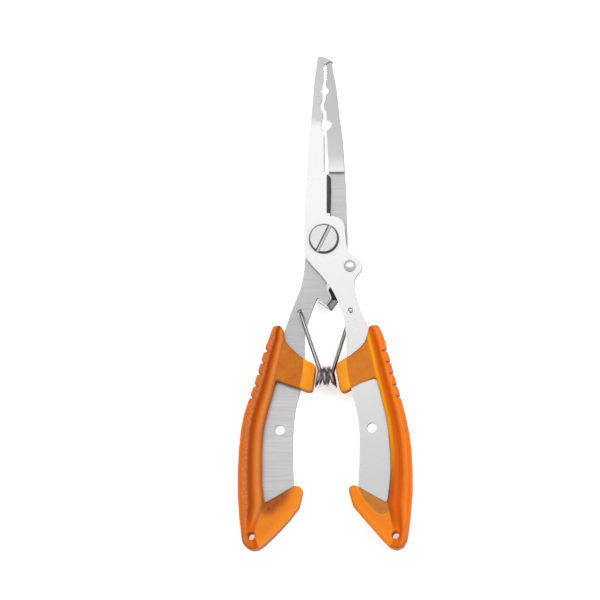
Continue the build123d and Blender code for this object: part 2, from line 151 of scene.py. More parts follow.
PLATE_R = [
    (-6.382, -4.255), (-6.087, -5.662), (-5.04, -7.298), (-2.225, -10.505), (-0.982, -11.815),
    (0.687, -13.909), (1.964, -15.611), (3.207, -17.673), (4.385, -20.127), (5.662, -23.236),
    (6.545, -26.182), (7.2, -30.6), (7.527, -34.985), (7.527, -38.945), (7.658, -42.382),
    (8.215, -45.851), (8.967, -49.255), (9.884, -52.822), (10.636, -55.996), (11.225, -59.073),
    (11.618, -62.444), (11.749, -68.4), (11.618, -74.356), (11.225, -80.902),
    (11.225, -80.902), (11.782, -82.636), (13.353, -85.385), (16.004, -88.56),
    (18.131, -90.229), (19.931, -90.36), (21.567, -89.345), (23.04, -85.909), (24.022, -81),
    (24.349, -76.32), (24.284, -70.364), (23.629, -63.622), (22.844, -59.073),
    (21.829, -54.818), (20.585, -50.04), (19.113, -44.673), (16.985, -37.145),
    (15.709, -32.073), (14.596, -29.029), (14.596, -29.029), (13.844, -27.393),
    (12.371, -24.12), (10.931, -20.324), (10.113, -16.985), (9.884, -14.76), (10.113, -13.255),
    (10.636, -12.142),
]


# ---------------------------------------------------------------------------- node helpers
def new_mat(name):
    m = bpy.data.materials.new(name)
    m.use_nodes = True
    nt = m.node_tree
    nt.nodes.clear()
    out = nt.nodes.new("ShaderNodeOutputMaterial")
    bsdf = nt.nodes.new("ShaderNodeBsdfPrincipled")
    nt.links.new(bsdf.outputs["BSDF"], out.inputs["Surface"])
    return m, nt, bsdf


def node(nt, kind, **props):
    n = nt.nodes.new(kind)
    for k, v in props.items():
        setattr(n, k, v)
    return n


def link(nt, a, b):
    nt.links.new(a, b)


def coords(nt, scale=(1, 1, 1), rot=(0, 0, 0)):
    t = node(nt, "ShaderNodeTexCoord")
    mp = node(nt, "ShaderNodeMapping")
    mp.inputs["Scale"].default_value = scale
    mp.inputs["Rotation"].default_value = rot
    link(nt, t.outputs["Object"], mp.inputs["Vector"])
    return mp.outputs["Vector"]


def noise(nt, vec, scale, detail=4.0, rough=0.55):
    n = node(nt, "ShaderNodeTexNoise")
    n.inputs["Scale"].default_value = scale
    n.inputs["Detail"].default_value = detail
    n.inputs["Roughness"].default_value = rough
    link(nt, vec, n.inputs["Vector"])
    return n.outputs["Fac"]


def ramp(nt, fac, stops):
    r = node(nt, "ShaderNodeValToRGB")
    el = r.color_ramp.elements
    while len(el) > 1:
        el.remove(el[-1])
    el[0].position, el[0].color = stops[0][0], (*stops[0][1], 1)
    for p, c in stops[1:]:
        e = el.new(p)
        e.color = (*c, 1)
    link(nt, fac, r.inputs["Fac"])
    return r.outputs["Color"]


def mix_rgb(nt, fac, a, b, blend="MIX"):
    m = node(nt, "ShaderNodeMix", data_type="RGBA", blend_type=blend)
    if isinstance(fac, (int, float)):
        m.inputs[0].default_value = fac
    else:
        link(nt, fac, m.inputs[0])
    for sock, v in ((m.inputs[6], a), (m.inputs[7], b)):
        if isinstance(v, tuple):
            sock.default_value = (*v, 1)
        else:
            link(nt, v, sock)
    return m.outputs[2]


def map_range(nt, v, a, b, c=0.0, d=1.0, smooth=False):
    m = node(nt, "ShaderNodeMapRange")
    if smooth:
        m.interpolation_type = "SMOOTHSTEP"
    m.inputs["From Min"].default_value = a
    m.inputs["From Max"].default_value = b
    m.inputs["To Min"].default_value = c
    m.inputs["To Max"].default_value = d
    link(nt, v, m.inputs["Value"])
    return m.outputs["Result"]


def math_node(nt, op, a, b=None):
    m = node(nt, "ShaderNodeMath", operation=op)
    for sock, v in zip(m.inputs, (a, b)):
        if v is None:
            continue
        if isinstance(v, (int, float)):
            sock.default_value = v
        else:
            link(nt, v, sock)
    return m.outputs[0]


def bump(nt, height, strength, dist, bsdf, normal=None):
    b = node(nt, "ShaderNodeBump")
    b.inputs["Strength"].default_value = strength
    b.inputs["Distance"].default_value = dist
    link(nt, height, b.inputs["Height"])
    if normal is not None:
        link(nt, normal, b.inputs["Normal"])
    link(nt, b.outputs["Normal"], bsdf.inputs["Normal"])
    return b.outputs["Normal"]


def srgb(r, g, b):
    def f(c):
        c /= 255.0
        return c / 12.92 if c <= 0.04045 else ((c + 0.055) / 1.055) ** 2.4
    return (f(r), f(g), f(b))


# ---------------------------------------------------------------------------- materials
def steel(name, base, lo, hi, rough, brush_axis="X", brush=0.5, fine=(60, 2600, 600), tip=None, tip_y=(0, 0), metallic=0.85,
          grain_amount=0.10, jaw=None, relief=0.012, spread=1.0,
          painted_light_along_y=None):
    """Ground or brushed stainless: fine lines along one axis, soft cloudy tone, and an
    optional darker zone towards the jaw tips, their ground finish with painted shade for the tilted taper."""
    m, nt, bsdf = new_mat(name)
    bsdf.inputs["Metallic"].default_value = metallic
    if brush_axis == "X":
        v = coords(nt, fine, (0, 0, 0.05))
    else:
        v = coords(nt, (2600, 60, 600))
    lines = noise(nt, v, 1.0, 3.0, 0.6)
    grain = noise(nt, coords(nt), 2600.0, 2.0, 0.5)
    cloud = noise(nt, coords(nt), 55.0, 3.0, 0.5)
    col = ramp(nt, lines, [(0.25, lo), (0.75, hi)])
    col = mix_rgb(nt, brush, base, col)
    col = mix_rgb(nt, math_node(nt, "MULTIPLY", grain, grain_amount), col, tuple(c * 0.8 for c in base))
    col = mix_rgb(nt, math_node(nt, "MULTIPLY", cloud, 0.12), col, tuple(min(1, c * 1.08) for c in base))
    r = map_range(nt, lines, 0.2, 0.8, rough - 0.015 * spread, rough + 0.02 * spread)
    # painted shade: the tapered jaw tips are mixed towards a darker tone, standing in for the tilt of the taper
    if tip is not None:
        t = node(nt, "ShaderNodeTexCoord")
        sep = node(nt, "ShaderNodeSeparateXYZ")
        link(nt, t.outputs["Object"], sep.inputs[0])
        w = node(nt, "ShaderNodeMath", operation="MULTIPLY_ADD")
        link(nt, cloud, w.inputs[0])
        w.inputs[1].default_value = 0.0016
        link(nt, sep.outputs["Y"], w.inputs[2])
        f = map_range(nt, w.outputs[0], tip_y[0], tip_y[1], 0, 1, True)
        col = mix_rgb(nt, f, col, tip)
    if painted_light_along_y is not None:
        # painted light and shade: a slow change of brightness along the lever, given as (y, factor) stops
        t = node(nt, "ShaderNodeTexCoord")
        sep = node(nt, "ShaderNodeSeparateXYZ")
        link(nt, t.outputs["Object"], sep.inputs[0])
        y0, y1 = painted_light_along_y[0][0], painted_light_along_y[-1][0]
        f = ramp(nt, map_range(nt, sep.outputs["Y"], y0, y1),
                 [((y - y0) / (y1 - y0), (k / 1.25,) * 3) for y, k in painted_light_along_y])
        col = mix_rgb(nt, 1.0, col, f, "MULTIPLY")
        gain = node(nt, "ShaderNodeVectorMath", operation="SCALE")
        link(nt, col, gain.inputs[0])
        gain.inputs["Scale"].default_value = 1.25
        col = gain.outputs[0]
    if jaw is not None:
        # the finely ground jaw: even in tone, with a painted highlight just above its step
        t = node(nt, "ShaderNodeTexCoord")
        sep = node(nt, "ShaderNodeSeparateXYZ")
        link(nt, t.outputs["Object"], sep.inputs[0])
        on = math_node(nt, "GREATER_THAN", sep.outputs["Y"], jaw[0])
        col = mix_rgb(nt, math_node(nt, "MULTIPLY", on, 0.72), col, jaw[2])
        near = map_range(nt, sep.outputs["Y"], jaw[0], jaw[1], 0.85, 0.0, True)
        col = mix_rgb(nt, math_node(nt, "MULTIPLY", on, near), col, jaw[3])
    link(nt, col, bsdf.inputs["Base Color"])
    link(nt, r, bsdf.inputs["Roughness"])
    bump(nt, lines, relief, 0.00001, bsdf)
    return m


def metal_plain(name, base, rough, metallic=1.0, grain_scale=1400, wear=0.1):
    m, nt, bsdf = new_mat(name)
    bsdf.inputs["Metallic"].default_value = metallic
    g = noise(nt, coords(nt), grain_scale, 4.0)
    c = noise(nt, coords(nt), 160.0, 3.0)
    col = mix_rgb(nt, math_node(nt, "MULTIPLY", g, wear), base, tuple(x * 0.65 for x in base))
    col = mix_rgb(nt, math_node(nt, "MULTIPLY", c, wear), col, tuple(min(1, x * 1.25) for x in base))
    link(nt, col, bsdf.inputs["Base Color"])
    link(nt, map_range(nt, g, 0.2, 0.8, rough - 0.04, rough + 0.06), bsdf.inputs["Roughness"])
    bump(nt, g, 0.06, 0.00002, bsdf)
    return m


FRONT_STEEL = steel("front_steel", (0.82, 0.82, 0.82), (0.78, 0.78, 0.78), (0.86, 0.86, 0.86), 0.27,
                    "X", 0.03, fine=(90, 1500, 500), tip=(0.70, 0.70, 0.705), tip_y=(0.0375, 0.0400),
                    grain_amount=0.03, relief=0.001, spread=0.3)
REAR_STEEL = steel("rear_steel", (0.64, 0.64, 0.645), (0.48, 0.48, 0.485), (0.77, 0.77, 0.775), 0.30,
                   "X", 0.60, fine=(70, 1900, 500), jaw=(0.02206, 0.0285, (0.60, 0.60, 0.605), (0.86, 0.86, 0.86)),
                   relief=0.008, painted_light_along_y=[(-0.085, 1.18), (-0.066, 1.18), (-0.056, 1.13), (-0.040, 1.0), (-0.026, 0.87),
                                       (-0.016, 0.92), (-0.006, 0.97), (0.004, 0.94), (0.015, 0.90), (0.030, 0.96)])
JAW_STEEL = REAR_STEEL
SCREW_STEEL = metal_plain("screw_steel", (0.86, 0.86, 0.86), 0.33, wear=0.06)
NUT_STEEL = metal_plain("nut_steel", (0.62, 0.62, 0.63), 0.36)
WIRE_STEEL = metal_plain("spring_wire", (0.66, 0.66, 0.67), 0.17, wear=0.06)
RIVET_STEEL = metal_plain("rivet_steel", (0.85, 0.85, 0.85), 0.22, wear=0.05)
# near-black steel painted on the front blade's sloped facet as its dark reflection, and in the screw slot as shade
PAINTED_DARK = metal_plain("painted_dark_bevel", (0.125, 0.125, 0.13), 0.34, metallic=0.9, wear=0.15)
# dark steel for the plates' side walls: sheared edges, painted darker still to give shade lines along the edges and
# between the levers
EDGE = metal_plain("sheared_edge_and_shade", (0.20, 0.20, 0.205), 0.40, wear=0.2)
JAW_EDGE = metal_plain("jaw_inner_edge", (0.74, 0.74, 0.745), 0.40, wear=0.1)
STEP_EDGE = metal_plain("jaw_step", (0.56, 0.56, 0.565), 0.40, wear=0.1)
SLOT_FLOOR = metal_plain("slot_floor", (0.72, 0.72, 0.725), 0.36, wear=0.12)
# dark steel painted on the cone side of the screw head as shade
SHOULDER = metal_plain("screw_shoulder", (0.16, 0.16, 0.165), 0.30, wear=0.15)


def lock_material():
    """Dark stamped lever, painted darker still as shade under the front lever, with a painted highlight across the
    middle of its hooked foot and darker towards the toe.
    """
    m, nt, bsdf = new_mat("lock_steel")
    t = node(nt, "ShaderNodeTexCoord")
    sep = node(nt, "ShaderNodeSeparateXYZ")
    link(nt, t.outputs["Object"], sep.inputs[0])
    x = math_node(nt, "SUBTRACT", sep.outputs["X"], 0.00857)
    y = math_node(nt, "ADD", sep.outputs["Y"], 0.00893)
    along = math_node(nt, "ADD", math_node(nt, "MULTIPLY", x, -0.585), math_node(nt, "MULTIPLY", y, -0.811))
    over = math_node(nt, "ADD", math_node(nt, "MULTIPLY", x, 0.811), math_node(nt, "MULTIPLY", y, -0.585))
    foot = map_range(nt, math_node(nt, "ADD", along, math_node(nt, "MULTIPLY", over, 0.53)),
                     0.01270, 0.01300, 0, 1, True)
    toe = map_range(nt, along, 0.01425, 0.01450, 0, 1, True)
    # painted highlight: the foot is bright across its middle and dark at both sides
    tone = ramp(nt, map_range(nt, over, 0.0004, 0.0033, 0, 1),
                [(0.0, (0.05, 0.05, 0.05)), (0.28, (0.15, 0.15, 0.15)), (0.62, (0.46, 0.46, 0.46)),
                 (0.82, (0.30, 0.30, 0.30)), (1.0, (0.10, 0.10, 0.10))])
    # painted shade: the rest of the lever is near-black, its dark steel darkened as the shade under the front lever
    col = mix_rgb(nt, foot, (0.028, 0.028, 0.030), tone)
    col = mix_rgb(nt, math_node(nt, "MULTIPLY", toe, 0.7), col, (0.12, 0.12, 0.12))
    g = noise(nt, coords(nt), 1400.0, 4.0)
    col = mix_rgb(nt, math_node(nt, "MULTIPLY", g, 0.25), col, (0.03, 0.03, 0.03))
    link(nt, col, bsdf.inputs["Base Color"])
    bsdf.inputs["Metallic"].default_value = 0.8
    bsdf.inputs["Roughness"].default_value = 0.30
    bump(nt, g, 0.05, 0.00002, bsdf)
    return m


LOCK_STEEL = lock_material()


def grip_material():
    """Translucent amber moulding: the tint of each place, painted light and shade included, is held by the mesh,
    with fine frosted grain and a painted sheen on the crest of the rail."""
    m, nt, bsdf = new_mat("grip_plastic")
    tint = node(nt, "ShaderNodeAttribute", attribute_name="tint")
    attr = node(nt, "ShaderNodeAttribute", attribute_name="frost_sheen_masks")
    sep = node(nt, "ShaderNodeSeparateColor")
    link(nt, attr.outputs["Color"], sep.inputs[0])
    frost_and_sheen = sep.outputs[0]
    wall = sep.outputs[2]
    cloud = noise(nt, coords(nt), 90.0, 4.0)
    grain = noise(nt, coords(nt), 2300.0, 3.0, 0.7)
    col = mix_rgb(nt, map_range(nt, cloud, 0.35, 0.75, 0.0, 0.16), tint.outputs["Color"], srgb(170, 72, 6))
    mottle = noise(nt, coords(nt), 800.0, 4.0, 0.7)
    flat_area = math_node(nt, "MULTIPLY", sep.outputs[1], map_range(nt, mottle, 0.42, 0.68, 0.0, 0.18))
    flat_area = math_node(nt, "MULTIPLY", flat_area, math_node(nt, "SUBTRACT", 1.0, wall))
    col = mix_rgb(nt, flat_area, col, srgb(236, 156, 60))
    # painted sheen: a pale colour mixed in by the crest's frost mask
    f = math_node(nt, "MULTIPLY", frost_and_sheen, map_range(nt, grain, 0.38, 0.66, 0.0, 0.75))
    col = mix_rgb(nt, f, col, srgb(226, 150, 98))
    link(nt, col, bsdf.inputs["Base Color"])
    link(nt, map_range(nt, wall, 0.0, 1.0, 0.18, 0.02), bsdf.inputs["Specular IOR Level"])
    bsdf.inputs["Subsurface Weight"].default_value = 0.08
    bsdf.inputs["Subsurface Radius"].default_value = (1.0, 0.45, 0.12)
    bsdf.inputs["Subsurface Scale"].default_value = 0.0008
    rough = math_node(nt, "ADD", math_node(nt, "MULTIPLY", frost_and_sheen, 0.20), 0.33)
    link(nt, rough, bsdf.inputs["Roughness"])
    h = math_node(nt, "MULTIPLY", grain, map_range(nt, frost_and_sheen, 0.0, 1.0, 0.05, 1.0))
    bump(nt, h, 0.30, 0.00005, bsdf)
    return m


GRIP = grip_material()

# ---------------------------------------------------------------------------- mesh tools
def make_object(name, verts, faces, mat, smooth=True):
    me = bpy.data.meshes.new(name)
    me.from_pydata([tuple(v) for v in verts], [], [tuple(f) for f in faces])
    me.update()
    if smooth:
        me.shade_smooth()
    me.materials.append(mat)
    ob = bpy.data.objects.new(name, me)
    bpy.context.scene.collection.objects.link(ob)
    return ob


def seg_distance(X, Y, path, closed):
    """Distance from every grid point to a path, and the winding sign if it is closed."""
    pts = np.array(path, float)
    d = np.full(X.shape, 1e9)
    inside = np.zeros(X.shape, bool)
    n = len(pts)
    for i in range(n if closed else n - 1):
        ax, ay = pts[i]
        bx, by = pts[(i + 1) % n]
        ex, ey = bx - ax, by - ay
        wx, wy = X - ax, Y - ay
        t = np.clip((wx * ex + wy * ey) / (ex * ex + ey * ey + 1e-12), 0, 1)
        d = np.minimum(d, np.hypot(wx - t * ex, wy - t * ey))
        if closed:
            c = ((ay > Y) != (by > Y)) & (X < ex * (Y - ay) / (ey if abs(ey) > 1e-12 else 1e-12) + ax)
            inside ^= c
    if closed:
        d = np.where(inside, -d, d)
    return d


def blur(f, sigma_cells):
    r = max(1, int(3 * sigma_cells))
    k = np.exp(-0.5 * (np.arange(-r, r + 1) / sigma_cells) ** 2)
    k /= k.sum()
    g = np.apply_along_axis(lambda a: np.convolve(np.pad(a, r, mode="edge"), k, "valid"), 0, f)
    return np.apply_along_axis(lambda a: np.convolve(np.pad(a, r, mode="edge"), k, "valid"), 1, g)


def smax(a, b, k):
    h = np.maximum(k - np.abs(a - b), 0.0) / k
    return np.maximum(a, b) + h * h * k * 0.25


def step01(x):
    x = np.clip(x, 0, 1)
    return x * x * (3 - 2 * x)


def surface_nets(F, origin, h):
    """Closed quad mesh on the zero level of F (negative inside)."""
    inside = F < 0
    nx, ny, nz = F.shape
    c = np.zeros((nx - 1, ny - 1, nz - 1), int)
    acc = np.zeros((nx - 1, ny - 1, nz - 1, 3))
    cnt = np.zeros((nx - 1, ny - 1, nz - 1))
    for axis in range(3):
        sl0 = [slice(None)] * 3
        sl1 = [slice(None)] * 3
        sl0[axis], sl1[axis] = slice(0, -1), slice(1, None)
        A, B = F[tuple(sl0)], F[tuple(sl1)]
        cross = (A < 0) != (B < 0)
        t = np.where(cross, A / np.where(cross, A - B, 1), 0)
        o1, o2 = [a for a in range(3) if a != axis]
        for i in (0, 1):
            for j in (0, 1):
                s = [slice(None)] * 3
                s[o1] = slice(i, c.shape[o1] + i)
                s[o2] = slice(j, c.shape[o2] + j)
                cr, tt = cross[tuple(s)], t[tuple(s)]
                cnt += cr
                acc[..., axis] += np.where(cr, tt, 0)
                acc[..., o1] += np.where(cr, i, 0)
                acc[..., o2] += np.where(cr, j, 0)
    active = cnt > 0
    idx = np.full(active.shape, -1, int)
    idx[active] = np.arange(active.sum())
    ijk = np.argwhere(active)
    pos = (ijk + acc[active] / cnt[active][:, None]) * h + np.array(origin)
    quads = []
    for axis in range(3):
        o1, o2 = (axis + 1) % 3, (axis + 2) % 3
        sl0 = [slice(None)] * 3
        sl1 = [slice(None)] * 3
        sl0[axis], sl1[axis] = slice(0, -1), slice(1, None)
        a, b = inside[tuple(sl0)], inside[tuple(sl1)]
        e = np.argwhere(a != b)
        e = e[(e[:, o1] > 0) & (e[:, o2] > 0)]
        flip = a[tuple(e.T)]
        def at(d1, d2):
            q = e.copy()
            q[:, o1] -= d1
            q[:, o2] -= d2
            return idx[tuple(q.T)]
        q = np.stack([at(1, 1), at(0, 1), at(0, 0), at(1, 0)], 1)
        q[~flip] = q[~flip][:, ::-1]
        quads.append(q)
    return pos, np.concatenate(quads)


def grip(name, silhouette, outer, inner, web_poly, hook_poly, notches, plate, hole, side, body, cad_node):
    h = 0.22
    pts = np.array(silhouette)
    x0, y0 = pts.min(0) - 1.2
    x1, y1 = pts.max(0) + 1.2
    xs = np.arange(x0, x1 + h, h)
    ys = np.arange(y0, y1 + h, h)
    zs = np.arange(-CREST - 0.9, CREST + 0.9 + h, h)
    X, Y = np.meshgrid(xs, ys, indexing="ij")
    s = 0.30 / h
    dS = blur(seg_distance(X, Y, silhouette, True), s) + 0.03
    do = blur(seg_distance(X, Y, outer, False), s)
    di = blur(seg_distance(X, Y, inner, False), s)
    dW = blur(seg_distance(X, Y, web_poly, True), s)
    dH = blur(seg_distance(X, Y, hook_poly, True), s)
    dP = blur(seg_distance(X, Y, plate, True), s)
    u = do / (do + di + 1e-6)                      # 0 at the outer side, 1 at the rail's inner line
    in_web = step01(0.5 - dW / 0.35)
    in_hook = step01(0.5 - dH / 0.5)
    # hook: a gently rising plane from the inner corner to the lanyard hole
    corner = np.array(inner[-4])
    to_hole = np.array(hole) - corner
    along = ((X - corner[0]) * to_hole[0] + (Y - corner[1]) * to_hole[1]) / (to_hole @ to_hole)
    hook_t = 4.15 + 0.95 * step01(along)
    foot = LEDGE + (WEB - LEDGE) * step01(0.5 - (dW - 0.4) / 0.5)
    near_hook = step01(1 - (dH - 0.2) / 1.4)
    foot = foot * (1 - near_hook) + hook_t * near_hook
    crown = CREST - 0.35 * np.clip((0.16 - u) / 0.16, 0, 1) ** 2
    # crest, a hollow falling to a broad inner shoulder, then the wall down to the plate
    drop = 0.60 * step01((u - 0.30) / 0.34) + 0.40 * step01((u - 0.45) / 0.60)
    rail_t = crown - (crown - foot) * drop
    # fade the crest down towards the top end of the rail
    top_y = pts[:, 1].max()
    rail_t = rail_t - 0.9 * step01((Y - (top_y - 7.0)) / 7.0) ** 2
    T = rail_t * (1 - np.maximum(in_web, in_hook)) + WEB * in_web + hook_t * in_hook * (1 - in_web)
    # edge rounding: generous on the outside, tight where the plastic meets the plate
    outer_w = step01((0.62 - u) / 0.3) * (1 - in_web)
    k = 0.45 + 2.3 * outer_w
    k = k * (1 - in_hook) + (1.1) * in_hook
    steel_side = step01(0.5 - (dP + 0.2) / 0.6)
    k = np.where(in_web > 0.5, 0.75, k)
    k = blur(k, 0.4 / h)
    F = np.empty((len(xs), len(ys), len(zs)), np.float32)
    for i, z in enumerate(zs):
        F[:, :, i] = smax(dS, np.abs(z) - T, k)
    # finger notches
    npts = np.array(notches)
    for i, (nx, ny) in enumerate(npts):
        a = npts[max(i - 1, 0)]
        b = npts[min(i + 1, len(npts) - 1)]
        t = (b - a) / np.hypot(*(b - a))
        n = np.array([t[1], -t[0]])
        if n[0] * side < 0:
            n = -n
        ax = (X - nx) * t[0] + (Y - ny) * t[1]
        bx = (X - nx) * n[0] + (Y - ny) * n[1]
        g = np.abs(ax) * 0.93 - (bx + (1.35 if side < 0 else 1.95)) * 0.37
        F = smax(F, -g[:, :, None], 0.15)
    rho = np.hypot(X - hole[0], Y - hole[1])
    F = smax(F, (LANYARD_RADIUS - rho)[:, :, None], 0.35)
    pos, quads = surface_nets(F, (xs[0], ys[0], zs[0]), h)
    # one light smoothing pass keeps the crests and takes the grid out of the surface
    for _ in range(3):
        acc = np.zeros_like(pos)
        num = np.zeros(len(pos))
        for a, b in ((0, 1), (1, 2), (2, 3), (3, 0)):
            np.add.at(acc, quads[:, a], pos[quads[:, b]])
            np.add.at(num, quads[:, a], 1)
            np.add.at(acc, quads[:, b], pos[quads[:, a]])
            np.add.at(num, quads[:, b], 1)
        pos = pos * 0.5 + 0.5 * acc / num[:, None]

    def sample(f):
        i = np.clip(((pos[:, 0] - xs[0]) / h).astype(int), 0, len(xs) - 2)
        j = np.clip(((pos[:, 1] - ys[0]) / h).astype(int), 0, len(ys) - 2)
        a = (pos[:, 0] - xs[i]) / h
        b = (pos[:, 1] - ys[j]) / h
        return (f[i, j] * (1 - a) * (1 - b) + f[i + 1, j] * a * (1 - b)
                + f[i, j + 1] * (1 - a) * b + f[i + 1, j + 1] * a * b)

    zz = np.abs(pos[:, 2])
    y = pos[:, 1]
    U, W, H, P, D = sample(u), sample(in_web), sample(in_hook), sample(dP), sample(dS)
    depth = sample(T) - zz                              # how far below the local top
    side_wall = step01((depth - 0.55) / 0.5)

    def rich(rgb):
        """Take the pale surface sheen out of a tone, so the lit result keeps its depth."""
        r, g, b = rgb
        return (min(255, r * 1.01), max(0, g - 5), max(0, b - 26))

    def tone(keys):
        k = [v[0] for v in keys]
        return np.stack([np.interp(U, k, [srgb(*rich(v[1]))[c] for v in keys]) for c in range(3)], 1)

    def put(col, w, rgb):
        rgb = rich(rgb)
        w = np.clip(w, 0, 1)[:, None]
        return col * (1 - w) + np.array(srgb(*rgb)) * w

    # painted light and shade across the rail, by u: a pale painted sheen on the crest, a painted dark hollow, a
    # lighter slope and a darker inner wall, with the left and right grips given different lit and shaded copies of the
    # same amber
    if side < 0:
        col = tone([(0, (228, 112, 16)), (0.10, (248, 122, 10)), (0.20, (216, 112, 44)), (0.34, (196, 104, 56)),
                    (0.46, (166, 72, 14)), (0.57, (170, 76, 16)), (0.68, (202, 108, 40)), (0.80, (222, 132, 70)),
                    (0.90, (210, 124, 66)), (1.0, (156, 80, 26))])
    else:
        col = tone([(0, (232, 118, 10)), (0.10, (224, 108, 2)), (0.20, (240, 130, 34)), (0.34, (236, 122, 20)),
                    (0.46, (228, 108, 6)), (0.56, (222, 102, 2)), (0.72, (226, 106, 2)), (0.82, (200, 90, 2)),
                    (0.92, (184, 86, 2)),
                    (1.0, (120, 50, 2))])
        # painted glow: a bright yellow strip of light through the plastic along the upper part of the right rail's
        # inner edge
        glow = step01((U - 0.72) / 0.12) * step01((y + 84) / 24)
        col = put(col, 0.85 * glow, (255, 172, 2))
    heel = step01((-90.0 - y) / 6.0)
    col = put(col, 0.92 * heel, (226, 110, 18))
    # painted shade: a darker rim along the outline of the grip's bottom end
    end_rim = step01(1 + (D + 0.05) / 0.9) * step01((-96.0 - y) / 3.0)
    col = put(col, 0.6 * end_rim, (176, 84, 14))
    flat = np.clip(W + H, 0, 1)
    under = step01(0.5 - P / 0.3)
    end_fade = np.clip((P - 0.6) / 2.6, 0, 1)
    web_col = put(np.tile(np.array(srgb(254, 166, 10)), (len(pos), 1)), 0.45 * end_fade, (224, 118, 8))
    web_col = put(web_col, under,
                  (190, 106, 36) if side < 0 else (208, 122, 44))
    rim = step01(1 + (D + 0.15) / 0.75)
    low_edge = step01((-46.0 - y) / 1.2) if side < 0 else step01((-45.5 - y) / 1.2)
    # painted light and shade at the web's edges over the plate: a brighter orange along its lower edge and a dark
    # brown line along its other edges
    web_col = put(web_col, 0.75 * rim * under * low_edge, (236, 124, 18))
    web_col = put(web_col, 0.70 * step01(1 + (D + 0.05) / 0.55) * under * (1 - low_edge), (112, 54, 14))
    speck = 0.5 + 0.5 * np.sin(pos[:, 0] * 0.9 + 1.3) * np.sin(pos[:, 1] * 0.8 + 0.4)
    web_col = put(web_col, 0.22 * speck * under, (214, 142, 60))
    # painted shade: the web's side walls are darkened to brown
    web_col = put(web_col, side_wall, (118, 52, 4))
    along_h = np.clip(((pos[:, 0] - corner[0]) * side * -1 + (pos[:, 1] - corner[1]) * 0.9 + 8.0) / 16.0, 0, 1)
    lower = np.clip(-D / 3.2, 0, 1)                     # 0 at the edge, 1 well inside
    hook_col = put(np.tile(np.array(srgb(252, 148, 30) if side < 0 else srgb(252, 140, 8)), (len(pos), 1)),
                   0.75 * lower, (232, 128, 26) if side < 0 else (244, 130, 8))
    # on the left grip, painted shade over the hook's zone near the plate; on the right grip, the steel plate seen
    # through the plastic
    steel_and_shade_behind = step01(0.5 - P / 3.8) if side < 0 else under
    hook_col = put(hook_col, steel_and_shade_behind * (0.92 if side < 0 else 0.92), (132, 56, 6) if side < 0 else (180, 122, 74))
    # painted highlight: a pale line along the plate's edge in the right grip's hook
    if side > 0:
        hook_col = put(hook_col, 0.7 * step01(1 - np.abs(P - 0.25) / 0.35), (236, 168, 92))
    # painted shade: the hook's side walls are darkened to brown
    hook_col = put(hook_col, side_wall, (150, 66, 4))
    col = col * (1 - flat[:, None]) + web_col * W[:, None] + hook_col * (H * (1 - W))[:, None]
    # painted shade: the rail's outer wall is darkened
    outer_wall = step01((depth - 1.3) / 1.2) * (1 - flat)
    col = put(col, 0.85 * outer_wall, (150, 60, 0))
    # frost mask: frosted grain on the crest with a painted sheen, stronger on the left grip than the right; on the
    # left also a painted sheen on the rail's inner slope; flat areas get light frost only
    crest = step01((U - 0.13) / 0.08) * step01((0.46 - U) / 0.10) * (1 - flat) * (1 - side_wall)
    frost_and_sheen = crest * (0.95 if side < 0 else 0.45)
    if side < 0:
        frost_and_sheen = np.maximum(frost_and_sheen, 0.55 * step01((U - 0.64) / 0.12) * step01((0.98 - U) / 0.1) * (1 - flat))
    frost_and_sheen = np.maximum(frost_and_sheen, 0.16 * flat * (1 - side_wall))
    # painted shade in the bottoms of the finger notches
    gap_d = np.full(len(pos), 9.0)
    for i, (nx, ny) in enumerate(npts):
        a = npts[max(i - 1, 0)]
        b = npts[min(i + 1, len(npts) - 1)]
        t = (b - a) / np.hypot(*(b - a))
        n = np.array([t[1], -t[0]])
        if n[0] * side < 0:
            n = -n
        ax = (pos[:, 0] - nx) * t[0] + (pos[:, 1] - ny) * t[1]
        bx = (pos[:, 0] - nx) * n[0] + (pos[:, 1] - ny) * n[1]
        gap_d = np.minimum(gap_d, np.where(bx > -2.4, np.abs(ax) + np.clip(-bx - 1.7, 0, 9), 9))
    col = put(col, 0.85 * step01((0.55 - gap_d) / 0.35), (128, 54, 8))
    world = pos.copy()
    world[:, 2] += ZM
    world /= 1000.0
    ob = make_object(name, world, quads, GRIP)
    for att_name, rgb in (("tint", col), ("frost_sheen_masks", np.stack([frost_and_sheen, flat, side_wall], 1))):
        att = ob.data.color_attributes.new(att_name, "FLOAT_COLOR", "POINT")
        att.data.foreach_set("color", np.concatenate([rgb, np.ones((len(pos), 1))], 1).astype(np.float32).ravel())
    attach(ob, body)
    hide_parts(cad_node)
    return ob


left = grip("left_grip_moulding", GRIP_L, OUT_L, IN_L, WEB_L, HOOK_L, NOTCH_L, PLATE_L, LANYARD_L, -1,
            "rear_body", "left_grip")
right = grip("right_grip_moulding", GRIP_R, OUT_R, IN_R, WEB_R, HOOK_R, NOTCH_R, PLATE_R, LANYARD_R, 1,
             "front_body", "right_grip")

